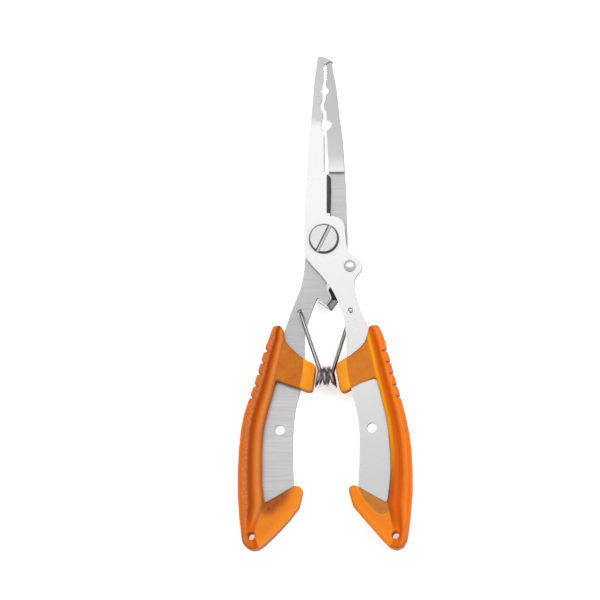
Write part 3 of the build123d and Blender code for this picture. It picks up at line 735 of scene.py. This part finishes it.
# ---------------------------------------------------------------------------- spring
def tube(name, path, radius, mat, sides=20):
    P = np.array(path, float)
    T = np.gradient(P, axis=0)
    T /= np.linalg.norm(T, axis=1)[:, None]
    N = np.zeros_like(P)
    v = np.cross(T[0], [0.3, 0.5, 0.8])
    N[0] = v / np.linalg.norm(v)
    for i in range(1, len(P)):
        v = N[i - 1] - T[i] * (N[i - 1] @ T[i])
        N[i] = v / np.linalg.norm(v)
    B = np.cross(T, N)
    ang = np.linspace(0, 2 * math.pi, sides, endpoint=False)
    verts, faces = [], []
    rings = []
    for i in range(len(P)):
        rr = radius
        rings.append(P[i] + rr * (np.cos(ang)[:, None] * N[i] + np.sin(ang)[:, None] * B[i]))
    # rounded ends
    def cap(i, sgn):
        out = []
        for a, c in ((0.10, 0.95), (0.17, 0.84), (0.19, 0.70)):
            out.append(P[i] + sgn * T[i] * radius * a
                       + radius * c * (np.cos(ang)[:, None] * N[i] + np.sin(ang)[:, None] * B[i]))
        return out
    all_rings = cap(0, -1)[::-1] + rings + cap(len(P) - 1, 1)
    V = np.concatenate(all_rings)
    n = len(all_rings)
    for r in range(n - 1):
        for s in range(sides):
            a, b = r * sides + s, r * sides + (s + 1) % sides
            faces.append((a, b, b + sides, a + sides))
    V = np.vstack([V, P[0] - T[0] * radius * 0.2, P[-1] + T[-1] * radius * 0.2])
    c0, c1 = len(V) - 2, len(V) - 1
    for s in range(sides):
        faces.append((c0, (s + 1) % sides, s))
        faces.append((c1, (n - 1) * sides + s, (n - 1) * sides + (s + 1) % sides))
    return make_object(name, V / 1000.0, faces, mat)


def rounded(points, radii, step=0.2):
    """Straight runs joined by arcs, as closely spaced points."""
    P = [np.array(p, float) for p in points]
    out = [P[0]]
    for i in range(1, len(P) - 1):
        a, b, c = P[i - 1], P[i], P[i + 1]
        u, w = (a - b) / np.linalg.norm(a - b), (c - b) / np.linalg.norm(c - b)
        ang = math.acos(np.clip(u @ w, -1, 1))
        r = radii[i - 1]
        t = r / math.tan(ang / 2)
        s, e = b + u * t, b + w * t
        bis = (u + w) / np.linalg.norm(u + w)
        o = b + bis * r / math.sin(ang / 2)
        n = max(3, int(r * (math.pi - ang) / step))
        v0, v1 = s - o, e - o
        th = math.acos(np.clip(v0 @ v1 / (r * r), -1, 1))
        for j in range(n + 1):
            f = j / n
            out.append(o + (math.sin((1 - f) * th) * v0 + math.sin(f * th) * v1) / math.sin(th))
    out.append(P[-1])
    dense = [out[0]]
    for a, b in zip(out[:-1], out[1:]):
        n = max(1, int(np.linalg.norm(b - a) / 0.5))
        for j in range(1, n + 1):
            dense.append(a + (b - a) * j / n)
    return np.array(dense)


COIL_Y, COIL_R = -45.0, 3.2
PHI_IN, PHI_OUT = 55.0, 1025.0


def coil_point(phi):
    """Three turns about an axis along X; they bunch at the top and fan out lower down, and
    step sideways near the top so that each turn lies almost flat."""
    along = phi + 30.0 * math.sin(math.radians(phi))
    xc = min(max(0.62 + 1.52 * (along - 540.0) / 360.0, -0.90), 2.14)
    c = math.cos(math.radians(phi))
    x = 0.62 + (xc - 0.62) * (1 + 0.92 * (1 - c) / 2)
    return np.array([x, COIL_Y + COIL_R * c, ZM + COIL_R * math.sin(math.radians(phi))])


coil = np.array([coil_point(p) for p in np.arange(PHI_IN, PHI_OUT + 0.1, 4.0)])
left_leg = rounded([(-7.89, -23.73, ZM - 2.6), (-7.89, -23.73, ZM + 0.78), tuple(coil[0])], [0.95])
right_leg = rounded([tuple(coil[-1]), (8.80, -23.56, ZM - 0.78), (8.80, -23.56, ZM + 3.2)], [0.95])
spring_path = np.vstack([left_leg[:-1], coil, right_leg[1:]])
for _ in range(6):
    spring_path[1:-1] = (spring_path[:-2] + 2 * spring_path[1:-1] + spring_path[2:]) / 4
spring = tube("return_spring_wire", spring_path, 0.70, WIRE_STEEL)
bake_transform(spring)
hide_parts("return_spring")

# ---------------------------------------------------------------------------- metal parts
F_LEFT = [
    (-2.127, 60.349), (-2.487, 57.764), (-2.815, 55.276), (-3.469, 48.6), (-4.156, 40.255),
    (-4.975, 31.909), (-5.662, 21.862), (-6.055, 12.927), (-6.284, 4.516), (-6.382, -4.255),
]
F_NECK = [
    (-6.382, -4.255), (-6.087, -5.662), (-5.04, -7.298), (-2.225, -10.505), (-0.982, -11.815),
    (0.687, -13.909), (1.964, -15.611), (3.207, -17.673), (4.385, -20.127), (5.662, -23.236),
    (6.545, -26.182), (7.2, -30.6), (7.527, -34.985), (7.527, -38.945), (7.658, -42.382),
    (8.215, -45.851), (8.967, -49.255), (9.884, -52.822), (10.636, -55.996), (11.225, -59.073),
    (11.618, -62.444), (11.749, -68.4), (11.618, -74.356), (11.225, -80.902),
]
F_END = [
    (11.225, -80.902), (11.782, -82.636), (13.353, -85.385), (16.004, -88.56),
    (18.131, -90.229), (19.931, -90.36), (21.567, -89.345), (23.04, -85.909), (24.022, -81),
    (24.349, -76.32), (24.284, -70.364), (23.629, -63.622), (22.844, -59.073),
    (21.829, -54.818), (20.585, -50.04), (19.113, -44.673), (16.985, -37.145),
    (15.709, -32.073), (14.596, -29.029),
]
F_OUT = [
    (14.596, -29.029), (13.844, -27.393), (12.371, -24.12), (10.931, -20.324),
    (10.113, -16.985), (9.884, -14.76), (10.113, -13.255), (10.636, -12.142),
]
F_LUG = [
    (10.636, -12.142), (12.044, -10.636), (12.404, -8.935), (12.044, -7.56), (10.996, -6.251),
    (9.458, -5.433),
]
F_BOSS = [
    (9.458, -5.433), (8.444, -4.549), (7.691, -3.371), (7.265, -1.342), (6.971, 1.604),
    (6.84, 4.025),
]
F_SH = [
    (6.84, 4.025), (5.956, 5.956), (4.484, 7.004), (3.044, 7.429), (1.865, 7.495),
]
F_BL = [
    (1.865, 7.495), (1.996, 9.916), (2.127, 16.2), (2.029, 20.193),
]
F_BT = [
    (2.029, 20.193), (1.604, 20.945), (0.687, 21.207), (-0.131, 22.222),
]
F_IN = [
    (-0.131, 22.222), (-0.131, 34.233), (-0.818, 35.902), (-0.72, 36.622), (-0.72, 38.782),
    (-0.982, 39.305), (-0.458, 40.647), (-0.556, 41.891), (-1.407, 43.265), (-1.505, 44.313),
    (-0.785, 46.375), (-0.655, 47.815), (-0.556, 48.142), (-0.556, 49.647), (-0.818, 50.891),
    (-0.524, 52.2), (-0.131, 52.331), (-0.098, 57.993),
]
F_TOOTH = [
    (-0.098, 57.993), (0.425, 57.796), (1.636, 58.778), (2.52, 58.451),
]
F_TOP = [
    (2.52, 58.451), (2.684, 58.68), (1.636, 59.269), (0.753, 59.727), (-0.295, 60.185),
    (-2.127, 60.349),
]
R_OUT = [
    (0.524, 57.371), (2.095, 58.418), (2.553, 58.025),
]
R_RIGHT = [
    (2.553, 58.025), (2.847, 55.276), (3.535, 51.251), (4.025, 47.913), (4.876, 39.895),
    (5.531, 35.247), (6.022, 30.24), (6.382, 25.233), (6.578, 22.058), (7.036, 12.927),
    (7.135, 8.018), (7.331, 3.109), (7.462, -1.342), (7.429, -4.255),
]
R_NECK = [
    (7.429, -4.255), (7.135, -5.662), (6.087, -7.298), (3.273, -10.571), (1.702, -12.207),
    (0.72, -13.451),
]
R_NOTCH = [
    (0.72, -13.451), (0.458, -14.367), (0.458, -15.382), (0.785, -16.625),
]
R_TOOTH = [
    (0.785, -16.625), (1.735, -18.556), (1.767, -19.145), (0.72, -20.978), (-1.604, -19.145),
]
R_TIN = [
    (-1.604, -19.145), (-2.16, -18.982), (-2.618, -19.538), (-4.189, -23.302),
    (-5.629, -27.818), (-6.349, -30.993), (-6.578, -34.985), (-6.545, -38.945),
    (-6.676, -42.382), (-7.233, -45.851), (-7.92, -49.255), (-8.771, -52.822),
    (-9.491, -55.996), (-9.884, -59.073), (-10.178, -62.836), (-10.342, -68.4),
    (-10.244, -74.356), (-9.884, -80.902),
]
R_END = [
    (-9.884, -80.902), (-10.538, -82.636), (-12.175, -85.385), (-14.825, -88.56),
    (-16.953, -90.229), (-18.753, -90.36), (-20.389, -89.345), (-21.927, -85.909),
    (-22.713, -81), (-22.975, -76.32), (-22.942, -70.364), (-22.451, -63.622),
    (-21.665, -59.073), (-20.651, -54.818), (-19.407, -50.04), (-17.935, -44.673),
    (-15.709, -37.145), (-13.942, -32.073), (-13.124, -30.273),
]
R_HAND = [
    (-13.124, -30.273), (-12.567, -28.636), (-10.604, -23.073), (-9.524, -20.324),
    (-8.084, -16.822), (-7.069, -12.927), (-6.48, -8.64), (-6.218, -4.745),
]
R_BOSS = [
    (-6.218, -4.745), (-6.12, -3.109), (-5.956, -1.145), (-5.793, 1.604), (-5.662, 4.025),
]
R_SH = [
    (-5.662, 4.025), (-4.844, 5.956), (-3.371, 7.004), (-1.931, 7.429), (-0.818, 7.495),
]
R_BL = [
    (-0.818, 7.495), (-0.949, 9.916), (-1.08, 16.2), (-0.982, 20.193),
]
R_BT = [
    (-0.982, 20.193), (-0.556, 20.945), (0.36, 21.207), (1.538, 22.058),
]
R_IN = [
    (1.538, 22.058), (1.44, 25.233), (1.015, 31.909), (0.818, 35.509), (1.702, 36.295),
    (1.702, 39.109), (0.753, 39.502), (0.785, 41.171), (0.589, 42.218), (-0.196, 43.462),
    (-0.262, 44.313), (0.491, 46.08), (0.491, 47.422), (0.851, 47.88), (0.851, 49.909),
    (0.491, 50.564), (0.491, 57.142), (0.524, 57.371),
]



def spline(pts, step=0.55):
    """Natural cubic through the points, by chord length, as closely spaced points."""
    P = np.array(pts, float)
    if len(P) < 3:
        return [tuple(v) for v in P]
    t = np.concatenate([[0], np.cumsum(np.hypot(*np.diff(P, axis=0).T))])
    n = len(P)
    A = np.zeros((n, n))
    R = np.zeros((n, 2))
    A[0, 0] = A[-1, -1] = 1
    hh = np.diff(t)
    for i in range(1, n - 1):
        A[i, i - 1], A[i, i], A[i, i + 1] = hh[i - 1], 2 * (hh[i - 1] + hh[i]), hh[i]
        R[i] = 6 * ((P[i + 1] - P[i]) / hh[i] - (P[i] - P[i - 1]) / hh[i - 1])
    M = np.linalg.solve(A, R)
    out = []
    for i in range(n - 1):
        k = max(1, int(math.ceil(hh[i] / step)))
        for j in range(k):
            d = hh[i] * j / k
            e = hh[i] - d
            out.append(tuple(M[i] * e ** 3 / (6 * hh[i]) + M[i + 1] * d ** 3 / (6 * hh[i])
                             + (P[i] / hh[i] - M[i] * hh[i] / 6) * e
                             + (P[i + 1] / hh[i] - M[i + 1] * hh[i] / 6) * d))
    out.append(tuple(P[-1]))
    return out


def ring_of(*runs):
    out = []
    for kind, pts in runs:
        q = spline(pts) if kind == "S" else list(pts)
        for v in q:
            if not out or math.hypot(v[0] - out[-1][0], v[1] - out[-1][1]) > 0.02:
                out.append((float(v[0]), float(v[1])))
    if math.hypot(out[0][0] - out[-1][0], out[0][1] - out[-1][1]) < 0.02:
        out.pop()
    return out


def bm_prism(ring, z0, z1):
    bm = bmesh.new()
    lo = [bm.verts.new((x / 1000, y / 1000, z0 / 1000)) for x, y in ring]
    hi = [bm.verts.new((x / 1000, y / 1000, z1 / 1000)) for x, y in ring]
    bm.faces.new(lo)
    bm.faces.new(hi)
    n = len(ring)
    for i in range(n):
        bm.faces.new((lo[i], lo[(i + 1) % n], hi[(i + 1) % n], hi[i]))
    bmesh.ops.recalc_face_normals(bm, faces=bm.faces)
    return bm


def to_object(bm, name):
    me = bpy.data.meshes.new(name)
    bm.to_mesh(me)
    bm.free()
    ob = bpy.data.objects.new(name, me)
    bpy.context.scene.collection.objects.link(ob)
    return ob


def circle(x, y, r, n=72):
    return [(x + r * math.cos(2 * math.pi * i / n), y + r * math.sin(2 * math.pi * i / n)) for i in range(n)]


def prism_x(section, x0, x1):
    """Prism along X from a (Y, Z) section, mm."""
    bm = bmesh.new()
    a = [bm.verts.new((x0 / 1000, y / 1000, z / 1000)) for y, z in section]
    b = [bm.verts.new((x1 / 1000, y / 1000, z / 1000)) for y, z in section]
    bm.faces.new(a)
    bm.faces.new(b)
    n = len(section)
    for i in range(n):
        bm.faces.new((a[i], a[(i + 1) % n], b[(i + 1) % n], b[i]))
    bmesh.ops.recalc_face_normals(bm, faces=bm.faces)
    return bm


def prism_y(section, y0, y1):
    """Prism along Y from an (X, Z) section, mm."""
    bm = bmesh.new()
    a = [bm.verts.new((x / 1000, y0 / 1000, z / 1000)) for x, z in section]
    b = [bm.verts.new((x / 1000, y1 / 1000, z / 1000)) for x, z in section]
    bm.faces.new(a)
    bm.faces.new(b)
    n = len(section)
    for i in range(n):
        bm.faces.new((a[i], a[(i + 1) % n], b[(i + 1) % n], b[i]))
    bmesh.ops.recalc_face_normals(bm, faces=bm.faces)
    return bm


def carve(ob, cutters, mode="DIFFERENCE"):
    for bm in cutters:
        c = to_object(bm, "cutter")
        md = ob.modifiers.new("cut", "BOOLEAN")
        md.operation = mode
        md.solver = "EXACT"
        md.object = c
        dg = bpy.context.evaluated_depsgraph_get()
        me = bpy.data.meshes.new_from_object(ob.evaluated_get(dg))
        ob.modifiers.clear()
        old = ob.data
        ob.data = me
        bpy.data.meshes.remove(old)
        cm = c.data
        bpy.data.objects.remove(c)
        bpy.data.meshes.remove(cm)


def finish_metal(ob, mat, bevel=0.13, angle=32, segments=2):
    bm = bmesh.new()
    bm.from_mesh(ob.data)
    bmesh.ops.remove_doubles(bm, verts=bm.verts, dist=4e-6)
    bmesh.ops.dissolve_limit(bm, angle_limit=math.radians(0.6), verts=bm.verts, edges=bm.edges)
    strip = set()
    if bevel:
        sharp = [e for e in bm.edges if len(e.link_faces) == 2 and e.calc_face_angle(0) > math.radians(angle)]
        got = bmesh.ops.bevel(bm, geom=sharp, offset=bevel / 1000, offset_type="OFFSET", segments=segments,
                              profile=0.5, affect="EDGES", clamp_overlap=True)
        tag = bm.faces.layers.int.new("strip")
        for f in got["faces"]:
            if f.is_valid:
                f[tag] = 1
    bmesh.ops.triangulate(bm, faces=[f for f in bm.faces if len(f.verts) > 4], quad_method="BEAUTY",
                          ngon_method="BEAUTY")
    bmesh.ops.recalc_face_normals(bm, faces=bm.faces)
    tag = bm.faces.layers.int.get("strip")
    bm.faces.index_update()
    bm.verts.index_update()
    strips = np.array([f[tag] if tag else 0 for f in bm.faces])
    bm.to_mesh(ob.data)
    bm.free()
    me = ob.data
    me.shade_smooth()
    me.materials.clear()
    me.materials.append(mat)
    # flat and gently curved faces keep their own normals, the edge strips blend between them
    normals = [f.normal.copy() for f in me.polygons]
    areas = [f.area for f in me.polygons]
    around = [[] for _ in me.vertices]
    for f in me.polygons:
        for v in f.vertices:
            around[v].append(f.index)
    loops = [None] * len(me.loops)
    for f in me.polygons:
        for li in f.loop_indices:
            v = me.loops[li].vertex_index
            acc = Vector((0, 0, 0))
            if strips[f.index]:
                near = [g for g in around[v] if not strips[g] and normals[g].dot(normals[f.index]) > 0.2]
                if not near:
                    near = around[v]
                    for g in near:
                        acc += normals[g] * areas[g]
                else:
                    best = max(near, key=lambda g: areas[g])
                    for g in near:
                        if normals[g].dot(normals[best]) > 0.9:
                            acc += normals[g] * areas[g]
            else:
                for g in around[v]:
                    if not strips[g] and normals[g].dot(normals[f.index]) > 0.9:
                        acc += normals[g] * areas[g]
            loops[li] = acc.normalized() if acc.length > 1e-15 else normals[f.index]
    me.normals_split_custom_set(loops)
    return ob


def paint(ob, mat, test):
    """Give the faces that pass the test a second material."""
    ob.data.materials.append(mat)
    k = len(ob.data.materials) - 1
    for f in ob.data.polygons:
        if test(f.center * 1000, f.normal):
            f.material_index = k


def hand_over(ob, body, cad_node):
    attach(ob, body)
    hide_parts(cad_node)


PLATE_T, GAP = 3.0, 0.05


def taper_cutters(y0):
    end = 61.4
    slope = (PLATE_T - 1.9) / (60.4 - y0)
    he = PLATE_T - slope * (end - y0)
    return [prism_x([(y0, ZM + PLATE_T), (end, ZM + he), (end, ZM + 6), (y0, ZM + 6)], -20, 20),
            prism_x([(y0, ZM - PLATE_T), (end, ZM - he), (end, ZM - 6), (y0, ZM - 6)], -20, 20)]


def serration(x, ys, r=0.48):
    return [bm_prism(circle(x, y, r, 24), ZM - 6, ZM + 6) for y in ys]


SERR = [52.8, 53.8, 54.8, 55.75, 56.75]

# front lever
ring = ring_of(("S", F_LEFT), ("S", F_NECK), ("S", F_END), ("S", F_OUT), ("S", F_LUG), ("S", F_BOSS),
               ("S", F_SH), ("L", F_BL), ("L", F_BT), ("L", F_IN), ("L", F_TOOTH), ("L", F_TOP))
front = to_object(bm_prism(ring, ZM - PLATE_T, ZM + PLATE_T), "front_lever_forging")
carve(front, [prism_x([(-200, ZM - 9), (22.222, ZM - 9), (22.222, ZM + GAP), (-200, ZM + GAP)], -60, 60)]
      + taper_cutters(38.5)
      + [prism_y([(0.85, ZM + 3.0), (2.3, ZM + 0.45), (4.3, ZM + 0.45), (4.3, ZM + 5), (0.85, ZM + 5)], 8.4, 21.6)]
      + [bm_prism(circle(0, 0, 2.55), ZM - 4, ZM + 4), bm_prism(circle(8.57, -8.93, 1.2, 48), ZM - 4, ZM + 4),
         bm_prism(circle(8.80, -23.56, 0.98, 48), ZM - 4, ZM + 4),
         bm_prism(circle(15.71, -61.92, 1.62), ZM - 4, ZM + 4),
         bm_prism(circle(0.16, 48.9, 1.30), ZM - 6, ZM + 6), bm_prism(circle(0.59, 37.7, 1.85), ZM - 6, ZM + 6)]
      + serration(-0.02, SERR))
finish_metal(front, FRONT_STEEL)
# side walls: sheared edge steel, painted dark as shade lines along the edges and under the overlap
paint(front, EDGE, lambda c, n: abs(n.z) < 0.45)
paint(front, JAW_EDGE, lambda c, n: abs(n.z) < 0.45 and c.y > 22.6 and abs(c.x - 0.4) < 2.6 and c.y < 58.0)
# painted dark reflection: the sloped facet along the front blade is painted near-black
paint(front, PAINTED_DARK, lambda c, n: 0.75 < c.x < 2.4 and 8.0 < c.y < 22.0 and n.x > 0.6 and 0.25 < n.z < 0.8)
hand_over(front, "front_body", "front_lever")

# rear lever
ring = ring_of(("L", R_OUT), ("S", R_RIGHT), ("S", R_NECK), ("S", R_NOTCH), ("L", R_TOOTH), ("S", R_TIN),
               ("S", R_END), ("S", R_HAND), ("S", R_BOSS), ("S", R_SH), ("L", R_BL), ("L", R_BT), ("L", R_IN))
rear = to_object(bm_prism(ring, ZM - PLATE_T, ZM + PLATE_T), "rear_lever_forging")
carve(rear, [prism_x([(-200, ZM - GAP), (22.06, ZM - GAP), (22.06, ZM + 9), (-200, ZM + 9)], -60, 60)]
      + taper_cutters(30.0)
      + [prism_y([(0.2, ZM - 3.0), (-1.25, ZM - 0.45), (-3.25, ZM - 0.45), (-3.25, ZM - 5), (0.2, ZM - 5)], 8.4, 21.6)]
      + [bm_prism(circle(0, 0, 2.52), ZM - 4, ZM + 4), bm_prism(circle(-7.89, -23.73, 0.98, 48), ZM - 4, ZM + 4),
         bm_prism(circle(-14.56, -62.25, 1.62), ZM - 4, ZM + 4),
         bm_prism(circle(0.16, 48.9, 1.30), ZM - 6, ZM + 6), bm_prism(circle(0.59, 37.7, 1.85), ZM - 6, ZM + 6)]
      + serration(0.42, SERR)
      + [bm_prism([(0.35, -15.6), (-3.1, -20.6), (2.0, -24.5), (8.0, -16.0)], ZM - 4, ZM - 1.5)])
finish_metal(rear, REAR_STEEL)
# side walls: sheared edge steel, painted dark as shade lines along the edges and under the overlap
paint(rear, EDGE, lambda c, n: abs(n.z) < 0.45)
paint(rear, JAW_EDGE, lambda c, n: abs(n.z) < 0.45 and c.y > 22.6 and abs(c.x - 0.4) < 2.6 and c.y < 58.0)
paint(rear, STEP_EDGE, lambda c, n: abs(n.z) < 0.6 and abs(c.y - 22.1) < 0.25 and n.y < -0.6)
hand_over(rear, "rear_body", "rear_lever")


def lathe(name, profile, center, n=96):
    """Closed (r, z) profile turned about a vertical axis, mm."""
    bm = bmesh.new()
    rings = []
    for r, z in profile:
        if r < 1e-6:
            rings.append([bm.verts.new((center[0] / 1000, center[1] / 1000, z / 1000))])
        else:
            rings.append([bm.verts.new(((center[0] + r * math.cos(2 * math.pi * i / n)) / 1000,
                                        (center[1] + r * math.sin(2 * math.pi * i / n)) / 1000, z / 1000))
                          for i in range(n)])
    m = len(rings)
    for k in range(m):
        a, b = rings[k], rings[(k + 1) % m]
        if len(a) == 1 and len(b) == 1:
            continue
        for i in range(n):
            j = (i + 1) % n
            if len(a) == 1:
                bm.faces.new((a[0], b[j], b[i]))
            elif len(b) == 1:
                bm.faces.new((a[i], a[j], b[0]))
            else:
                bm.faces.new((a[i], a[j], b[j], b[i]))
    bmesh.ops.recalc_face_normals(bm, faces=bm.faces)
    return to_object(bm, name)


top = ZM + 3.05
screw = lathe("pivot_screw_turned", [(0, ZM - 4.4), (1.45, ZM - 4.4), (1.6, ZM - 4.25), (1.6, top),
                                     (4.95, top), (4.95, top + 0.18), (4.52, top + 1.70), (4.36, top + 1.85),
                                     (0, top + 1.85)], (0, 0))
ca, sa = math.cos(math.radians(63.3)), math.sin(math.radians(63.3))
slot_ring = [(x * ca - y * sa, x * sa + y * ca) for x, y in ((-7, -0.62), (7, -0.62), (7, 0.62), (-7, 0.62))]
deep_ring = [(x * ca - y * sa, x * sa + y * ca) for x, y in ((-7, -0.36), (7, -0.36), (7, 0.36), (-7, 0.36))]
carve(screw, [bm_prism(slot_ring, top + 1.0, top + 4), bm_prism(deep_ring, top + 0.85, top + 4)])
finish_metal(screw, SCREW_STEEL, bevel=0.08)
across = lambda c: abs(-c.x * sa + c.y * ca)
# painted shade: the slot's walls and the shoulders of its stepped floor are painted near-black, and the cone side of
# the head is painted dark
paint(screw, PAINTED_DARK, lambda c, n: top + 0.8 < c.z < top + 1.80 and math.hypot(c.x, c.y) < 4.36)
paint(screw, SLOT_FLOOR, lambda c, n: c.z < top + 0.95 and c.z > top + 0.5 and n.z > 0.8)
paint(screw, SHOULDER, lambda c, n: c.z > top and abs(n.z) < 0.80 and math.hypot(c.x, c.y) >= 4.3)
hand_over(screw, "rear_body", "pivot_screw")

nut = lathe("pivot_nut_turned", [(1.6, 0.25), (1.85, 0.0), (4.25, 0.0), (4.6, 0.35), (4.6, 2.08), (4.5, 2.2), (2.5, 2.2),
                                 (2.5, ZM + 3.03), (1.6, ZM + 3.03)], (0, 0))
finish_metal(nut, NUT_STEEL, bevel=0.08)
hand_over(nut, "rear_body", "pivot_nut")

rz = ZM + PLATE_T
dome = [(1.95, rz), (1.95, rz + 0.42), (1.80, rz + 0.58), (1.45, rz + 0.68), (1.0, rz + 0.73), (0.5, rz + 0.755),
        (0, rz + 0.76)]
rivet = lathe("lock_rivet_headed", [(0, ZM - 3.65), (1.6, ZM - 3.65), (1.9, ZM - 3.45), (1.9, ZM - 3.0),
                                    (1.2, ZM - 3.0), (1.2, rz)] + dome, (8.57, -8.93), 64)
finish_metal(rivet, RIVET_STEEL, bevel=0.06)
hand_over(rivet, "front_body", "lock_rivet")

wa, wb = ZM - 1.70, ZM + 0.05
washer = lathe("lock_washer_turned", [(1.2, wa), (2.45, wa), (2.6, wa + 0.15), (2.6, wb - 0.15), (2.45, wb),
                                      (1.2, wb)], (8.57, -8.93), 64)
finish_metal(washer, NUT_STEEL, bevel=0.05)
hand_over(washer, "front_body", "lock_washer")


def lock_xy(r, t):
    return (8.57 + r * -0.585 + t * 0.811, -8.93 + r * -0.811 + t * -0.585)


def soften(poly, rad):
    """Round each corner of a closed polygon with a short arc."""
    out = []
    n = len(poly)
    for i in range(n):
        a, b, c = (np.array(poly[i - 1]), np.array(poly[i]), np.array(poly[(i + 1) % n]))
        r = rad[i] if isinstance(rad, (list, tuple)) else rad
        u, w = a - b, c - b
        lu, lw = np.hypot(*u), np.hypot(*w)
        t = min(r, 0.45 * lu, 0.45 * lw)
        s, e = b + u / lu * t, b + w / lw * t
        for f in (0, 0.2, 0.4, 0.6, 0.8, 1.0):
            out.append(tuple((1 - f) ** 2 * s + 2 * f * (1 - f) * b + f * f * e))
    return out


LOCK_EDGE = [(3.0, -1.77), (10.35, -1.77), (11.45, 0.25), (12.1, 0.80), (14.45, 0.80),
             (14.55, -2.2), (15.35, -2.2), (15.35, 3.17), (3.0, 3.17)]
eye = [(2.79 * math.cos(a), 2.79 * math.sin(a)) for a in np.linspace(math.radians(92), math.radians(268), 25)]
lock_ring = [lock_xy(r, t) for r, t in eye] + [lock_xy(r, t) for r, t in
                                               soften(LOCK_EDGE, [1.0, 0.5, 0.5, 0.5, 0.3, 0.3, 0.25, 0.5, 1.0])]
lock = to_object(bm_prism(lock_ring, ZM - 2.95, ZM - 1.75), "lock_lever_stamped")
carve(lock, [bm_prism(circle(8.57, -8.93, 1.25, 48), ZM - 4, ZM)])
finish_metal(lock, LOCK_STEEL, bevel=0.16)


def lock_rt(c):
    dx, dy = c.x - 8.57, c.y + 8.93
    return dx * -0.585 + dy * -0.811, dx * 0.811 + dy * -0.585


paint(lock, RIVET_STEEL, lambda c, n: lock_rt(c)[0] > 14.3 and lock_rt(c)[1] < 0.9 and n.z > 0.5)
hand_over(lock, "lock_body", "lock_lever")

# ---------------------------------------------------------------------------- stage
def floor():
    me = bpy.data.meshes.new("floor")
    s = 1.6
    me.from_pydata([(-s, -s, 0), (s, -s, 0), (s, s, 0), (-s, s, 0)], [], [(0, 1, 2, 3)])
    ob = bpy.data.objects.new("floor", me)
    bpy.context.scene.collection.objects.link(ob)
    ob.location = (0, 0, -0.0002)
    m, nt, bsdf = new_mat("floor_white")
    bsdf.inputs["Base Color"].default_value = (0.93, 0.93, 0.93, 1)
    bsdf.inputs["Roughness"].default_value = 0.9
    bsdf.inputs["Specular IOR Level"].default_value = 0.1
    bsdf.inputs["Emission Color"].default_value = (1, 1, 1, 1)
    bsdf.inputs["Emission Strength"].default_value = 0.52
    me.materials.append(m)


floor()
scene = bpy.context.scene
world = bpy.data.worlds.new("studio")
scene.world = world
world.use_nodes = True
wn = world.node_tree
wn.nodes.clear()
wout = wn.nodes.new("ShaderNodeOutputWorld")
bg = wn.nodes.new("ShaderNodeBackground")
tc = wn.nodes.new("ShaderNodeTexCoord")
sp = wn.nodes.new("ShaderNodeSeparateXYZ")
wn.links.new(tc.outputs["Generated"], sp.inputs[0])
wr = wn.nodes.new("ShaderNodeValToRGB")
el = wr.color_ramp.elements
el[0].position, el[0].color = 0.0, (0.10, 0.10, 0.10, 1)
el[1].position, el[1].color = 1.0, (0.50, 0.50, 0.505, 1)
e = el.new(0.60); e.color = (0.10, 0.10, 0.10, 1)
e = el.new(0.80); e.color = (0.62, 0.62, 0.625, 1)
wn.links.new(sp.outputs["Z"], wr.inputs["Fac"])
wn.links.new(wr.outputs["Color"], bg.inputs["Color"])
bg.inputs["Strength"].default_value = 1.0
wn.links.new(bg.outputs["Background"], wout.inputs["Surface"])


def area(name, loc, target, size, radiance, color=(1, 1, 1)):
    """A rectangular softbox given by its radiance, so its look in the steel is known."""
    l = bpy.data.lights.new(name, "AREA")
    l.shape = "RECTANGLE"
    l.size, l.size_y = size
    l.energy = radiance * math.pi * size[0] * size[1]
    l.color = color
    o = bpy.data.objects.new(name, l)
    bpy.context.scene.collection.objects.link(o)
    o.location = loc
    d = Vector(target) - Vector(loc)
    o.rotation_euler = d.to_track_quat("-Z", "Y").to_euler()
    return o


# overhead softbox: mirrored by the flat steel near the pivot and falling away towards the
# handles and the tapered jaw tips; two low side boxes lift the floor without showing there
area("overhead_softbox", (-0.06, 0.13, 0.75), (-0.06, 0.13, 0), (0.42, 0.17), 1.1)
left_fill = area("side_left", (-0.72, 0.25, 0.72), (0, -0.02, 0), (0.45, 0.7), 4.0)
right_fill = area("side_right", (0.80, 0.0, 0.70), (0, -0.02, 0), (0.5, 0.8), 6.5)

for fill in (left_fill, right_fill):
    fill.visible_glossy = False      # soft fill only, so bevels and wire keep their dark edges

# ---------------------------------------------------------------------------- camera
cam_data = bpy.data.cameras.new("camera")
cam = bpy.data.objects.new("camera", cam_data)
scene.collection.objects.link(cam)
scene.camera = cam
aim = Vector((-0.0079, -0.01985, 0.0065))
view = Vector((0.068, -0.118, 1.0)).normalized()
dist = 2.2
cam.location = aim + view * dist
z = view
yv = (Vector((0, 1, 0)) - z * z.y).normalized()
xv = yv.cross(z)
roll = 0.0019
xv, yv = xv * math.cos(roll) + yv * math.sin(roll), yv * math.cos(roll) - xv * math.sin(roll)
cam.matrix_world = Matrix(((xv.x, yv.x, z.x, cam.location.x), (xv.y, yv.y, z.y, cam.location.y),
                           (xv.z, yv.z, z.z, cam.location.z), (0, 0, 0, 1)))
cam_data.sensor_width = 36.0
cam_data.lens = 36.0 * dist / 0.1957
cam_data.clip_start = 0.01
cam_data.clip_end = 20.0

scene.view_settings.view_transform = "Standard"
scene.view_settings.look = "None"
